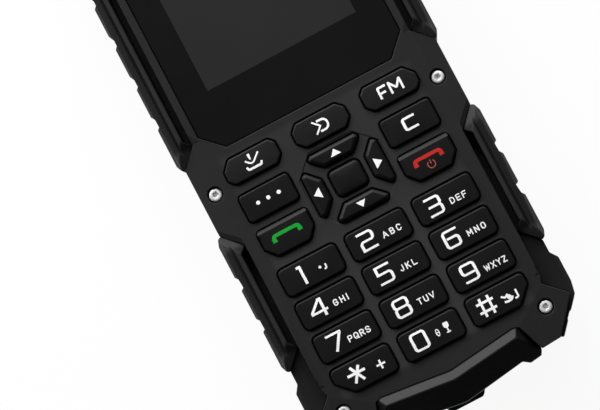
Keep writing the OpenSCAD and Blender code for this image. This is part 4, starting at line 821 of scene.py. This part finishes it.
# The screws are mostly diffuse pale grey: painted reflection, standing in for the bright overhead light the steel
# heads would mirror.
chrome = sheet_metal("screw_steel", (0.84, 0.84, 0.84, 1.0), 0.42, 0.25)
piece_of("case_screw_set", [screw(spot, HEAD_SEAT, HEAD_TOP, SHANK_TIP) for spot in CASE_SCREWS], chrome, "case",
         ["case_screws"])


# The bumpers are black rubber moulded over the case: ribbed sides with a ridge along the
# top, corner guards, and end bumpers of a harder, smoother grade with a vee-shaped lip.
# The ridge tops and end ramps are painted paler, a painted highlight where the light falls,
# and the end bumpers are painted darker, painted shade on the lip's downward front.
BUMPER_ENDS = [corner[1] for node in ("lower_right_bumper", "upper_right_bumper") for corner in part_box(node)]
RIDGE_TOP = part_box("upper_right_bumper")[1][2]
RIDGE_HIGHLIGHT, RAMP_LONG, RAMP_FULL = 0.38, 4.5 * MM, 3.0 * MM


def painted_ridge_highlight(at):
    """Where a highlight is painted on the rubber, paler where the light falls: all along the ridges' tops, and on the
    ramps at the bumpers' ends, where the share falls off smoothly from each end."""
    y, z = (at.make("ShaderNodeSeparateXYZ", {}, {0: at}, axis) for axis in (1, 2))
    ridge = z.fade(RIDGE_TOP - 0.5 * MM, RIDGE_TOP - 0.1 * MM)
    ends = sum(at.math("ABSOLUTE", y - end).fade(RAMP_LONG, RAMP_FULL) for end in BUMPER_ENDS)
    ramps = ends * z.fade(RIDGE_TOP - 2.6 * MM, RIDGE_TOP - 2.0 * MM)
    return at.math("MAXIMUM", ridge * RIDGE_HIGHLIGHT, ramps)


# The ridge tops and end ramps get a painted highlight: the rubber is made paler where the light falls on them.
rubber = moulded("bumper_rubber", 0.0148, 0.5, 0.0003, 0.00002, 0.04, painted_ridge_highlight)
# End bumpers: their darker tone is painted shade for the lip's downward front; the lower roughness and stronger gloss
# are the smoother grade.
lip_rubber_painted_shade = moulded("lip_rubber_painted_shade", 0.0096, 0.22, 0.0003, 0.00001, 0.104)
for node in ("upper_left_bumper", "upper_right_bumper", "lower_left_bumper", "lower_right_bumper",
             "bottom_corner_guards", "top_corner_guards"):
    softened(node, 0.25, rubber, 3)
for node in ("bottom_bumper", "top_bumper"):
    softened(node, 0.25, lip_rubber_painted_shade, 3)
softened("port_flap", 0.2, moulded("flap_rubber", 0.0184, 0.5, 0.0004, 0.00002, 0.096), 3, 13.0)


# Behind the flap the charging socket has a tongue of black plastic, moulded round five
# gold-plated contacts that lie along its upper face.
socket_low, socket_high = np.array(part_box("usb_socket")) / MM
TONGUE_BACK, TONGUE_TIP = socket_high[1] - 1.4, socket_low[1] + 1.3
TONGUE_Z = (socket_low[2] + socket_high[2]) / 2


def drawn_out(outline, z, back, tip, ease, x=0.0):
    """A bar drawn towards the mouth of the socket: its outline across x and z carried from the back to the tip, where
    the last ring shrinks by the ease."""
    rings = []
    for shrink, y in ((0.0, back), (0.0, tip + 2 * ease), (ease, tip)):
        wide, high = (outline * (1 - shrink / np.abs(outline).max(0))).T
        rings.append(np.stack([wide + x, np.full(len(outline), y), high + z], 1))
    return skin(rings, "face", "face")


tongue, contact = rounded(cut_block(6.2, 0.8), 0.15)[0], rounded(cut_block(0.56, 0.1), 0.03)[0]
piece_of("socket_tongue", [drawn_out(tongue, TONGUE_Z, TONGUE_BACK, TONGUE_TIP, 0.12)], lining, "case")
piece_of("socket_contacts", [drawn_out(contact, TONGUE_Z + 0.43, TONGUE_BACK, TONGUE_TIP + 0.4, 0.02, x)
                             for x in (-2.2, -1.1, 0.0, 1.1, 2.2)], gold, "case")


# The battery cover is a ribbed plate of the same black plastic, dropped into the back and
# held by two slotted screws.
softened("battery_cover", 0.12, moulded("lid_black", 0.0196, 0.5, 0.00022, 0.00002, 0.096))
softened("cover_screws", 0.07, chrome)


# The camera looks out through a round glass with a black printed ring, and the torch beside
# it through a ringed plastic lens over its diode. Both are glued into the back.
def back_disc(node, shares, depths):
    """A disc let into the back, turned from its seat out to its edge, over the rolled rim and in to the middle:
    shares of its radius, and depths in mm up from its outer face."""
    low, high = np.array(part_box(node)) / MM
    spot, radius = ((low + high) / 2)[:2], (high - low)[0] / 2
    rings = turned(spot, [(radius * share, low[2] + depth) for share, depth in zip(shares, depths)], 48)
    return spot, skin([ring[::-1] for ring in rings], "face", "point")


BAND_REACH = 6.0


def banded(name, spot, stops, rough, rings):
    """A finish by distance from a disc's middle in mm: its colours change at the stops, and fine rings run round
    in its gloss."""
    material, at, shader = finish_sheet(name)
    x, y = (at.make("ShaderNodeSeparateXYZ", {}, {0: at}, axis) * (1 / MM) - spot[axis] for axis in (0, 1))
    reach = at.math("SQRT", x * x + y * y)
    dust = at.make("ShaderNodeTexNoise", {}, {"Vector": at, "Scale": 900.0, "Detail": 3.0})
    band = at.make("ShaderNodeValToRGB", {"stops": [(r / BAND_REACH, colour) for r, colour in stops]},
                   {0: reach * (1 / BAND_REACH) + dust * 0.004})
    band.feed(shader, "Base Color")
    (at.math("SINE", reach * rings) * 0.03 + dust * 0.1 + rough).feed(shader, "Roughness")
    return material


spot, disc = back_disc("camera_window", [1, 1, 0.985, 0.95, 0.5, 0.485, 0.4, 0.33, 0.31, 0.24, 0.14, 0.05],
                       [1.0, 0.2, 0.06, 0, 0, 0.06, 0.42, 0.45, 0.4, 0.28, 0.2, 0.17])
piece_of("camera_window_glass", [disc],
         banded("camera_glass", spot, [(0.0, (0.012, 0.006, 0.03, 1.0)), (1.0, (0.004, 0.006, 0.016, 1.0)),
                                       (1.4, grey(0.03)), (1.85, grey(0.012)), (2.2, grey(0.003)), (5.9, grey(0.004))],
                0.08, 40.0), "case", ["camera_window"], 20.0)
spot, disc = back_disc("torch_lens",
                       [0.67, 0.67, 1, 1, 0.97, 0.9, 0.76, 0.74, 0.6, 0.58, 0.44, 0.42, 0.28, 0.15, 0.05],
                       [2.4, 1.0, 1.0, 0.2, 0.06, 0, 0.02, 0.16, 0.06, 0.2, 0.1, 0.22, 0.14, 0.11, 0.1])
piece_of("torch_lens_rings", [disc],
         banded("torch_plastic", spot, [(0.0, (0.62, 0.5, 0.1, 1.0)), (0.55, (0.6, 0.52, 0.2, 1.0)),
                                        (0.8, (0.5, 0.5, 0.46, 1.0)), (5.9, (0.56, 0.56, 0.54, 1.0))],
                0.16, 55.0), "case", ["torch_lens"], 20.0)
for node in ("camera_module", "case_seal"):
    solid = frame["nodes"][node].data
    solid.materials.clear()
    solid.materials.append(lining)
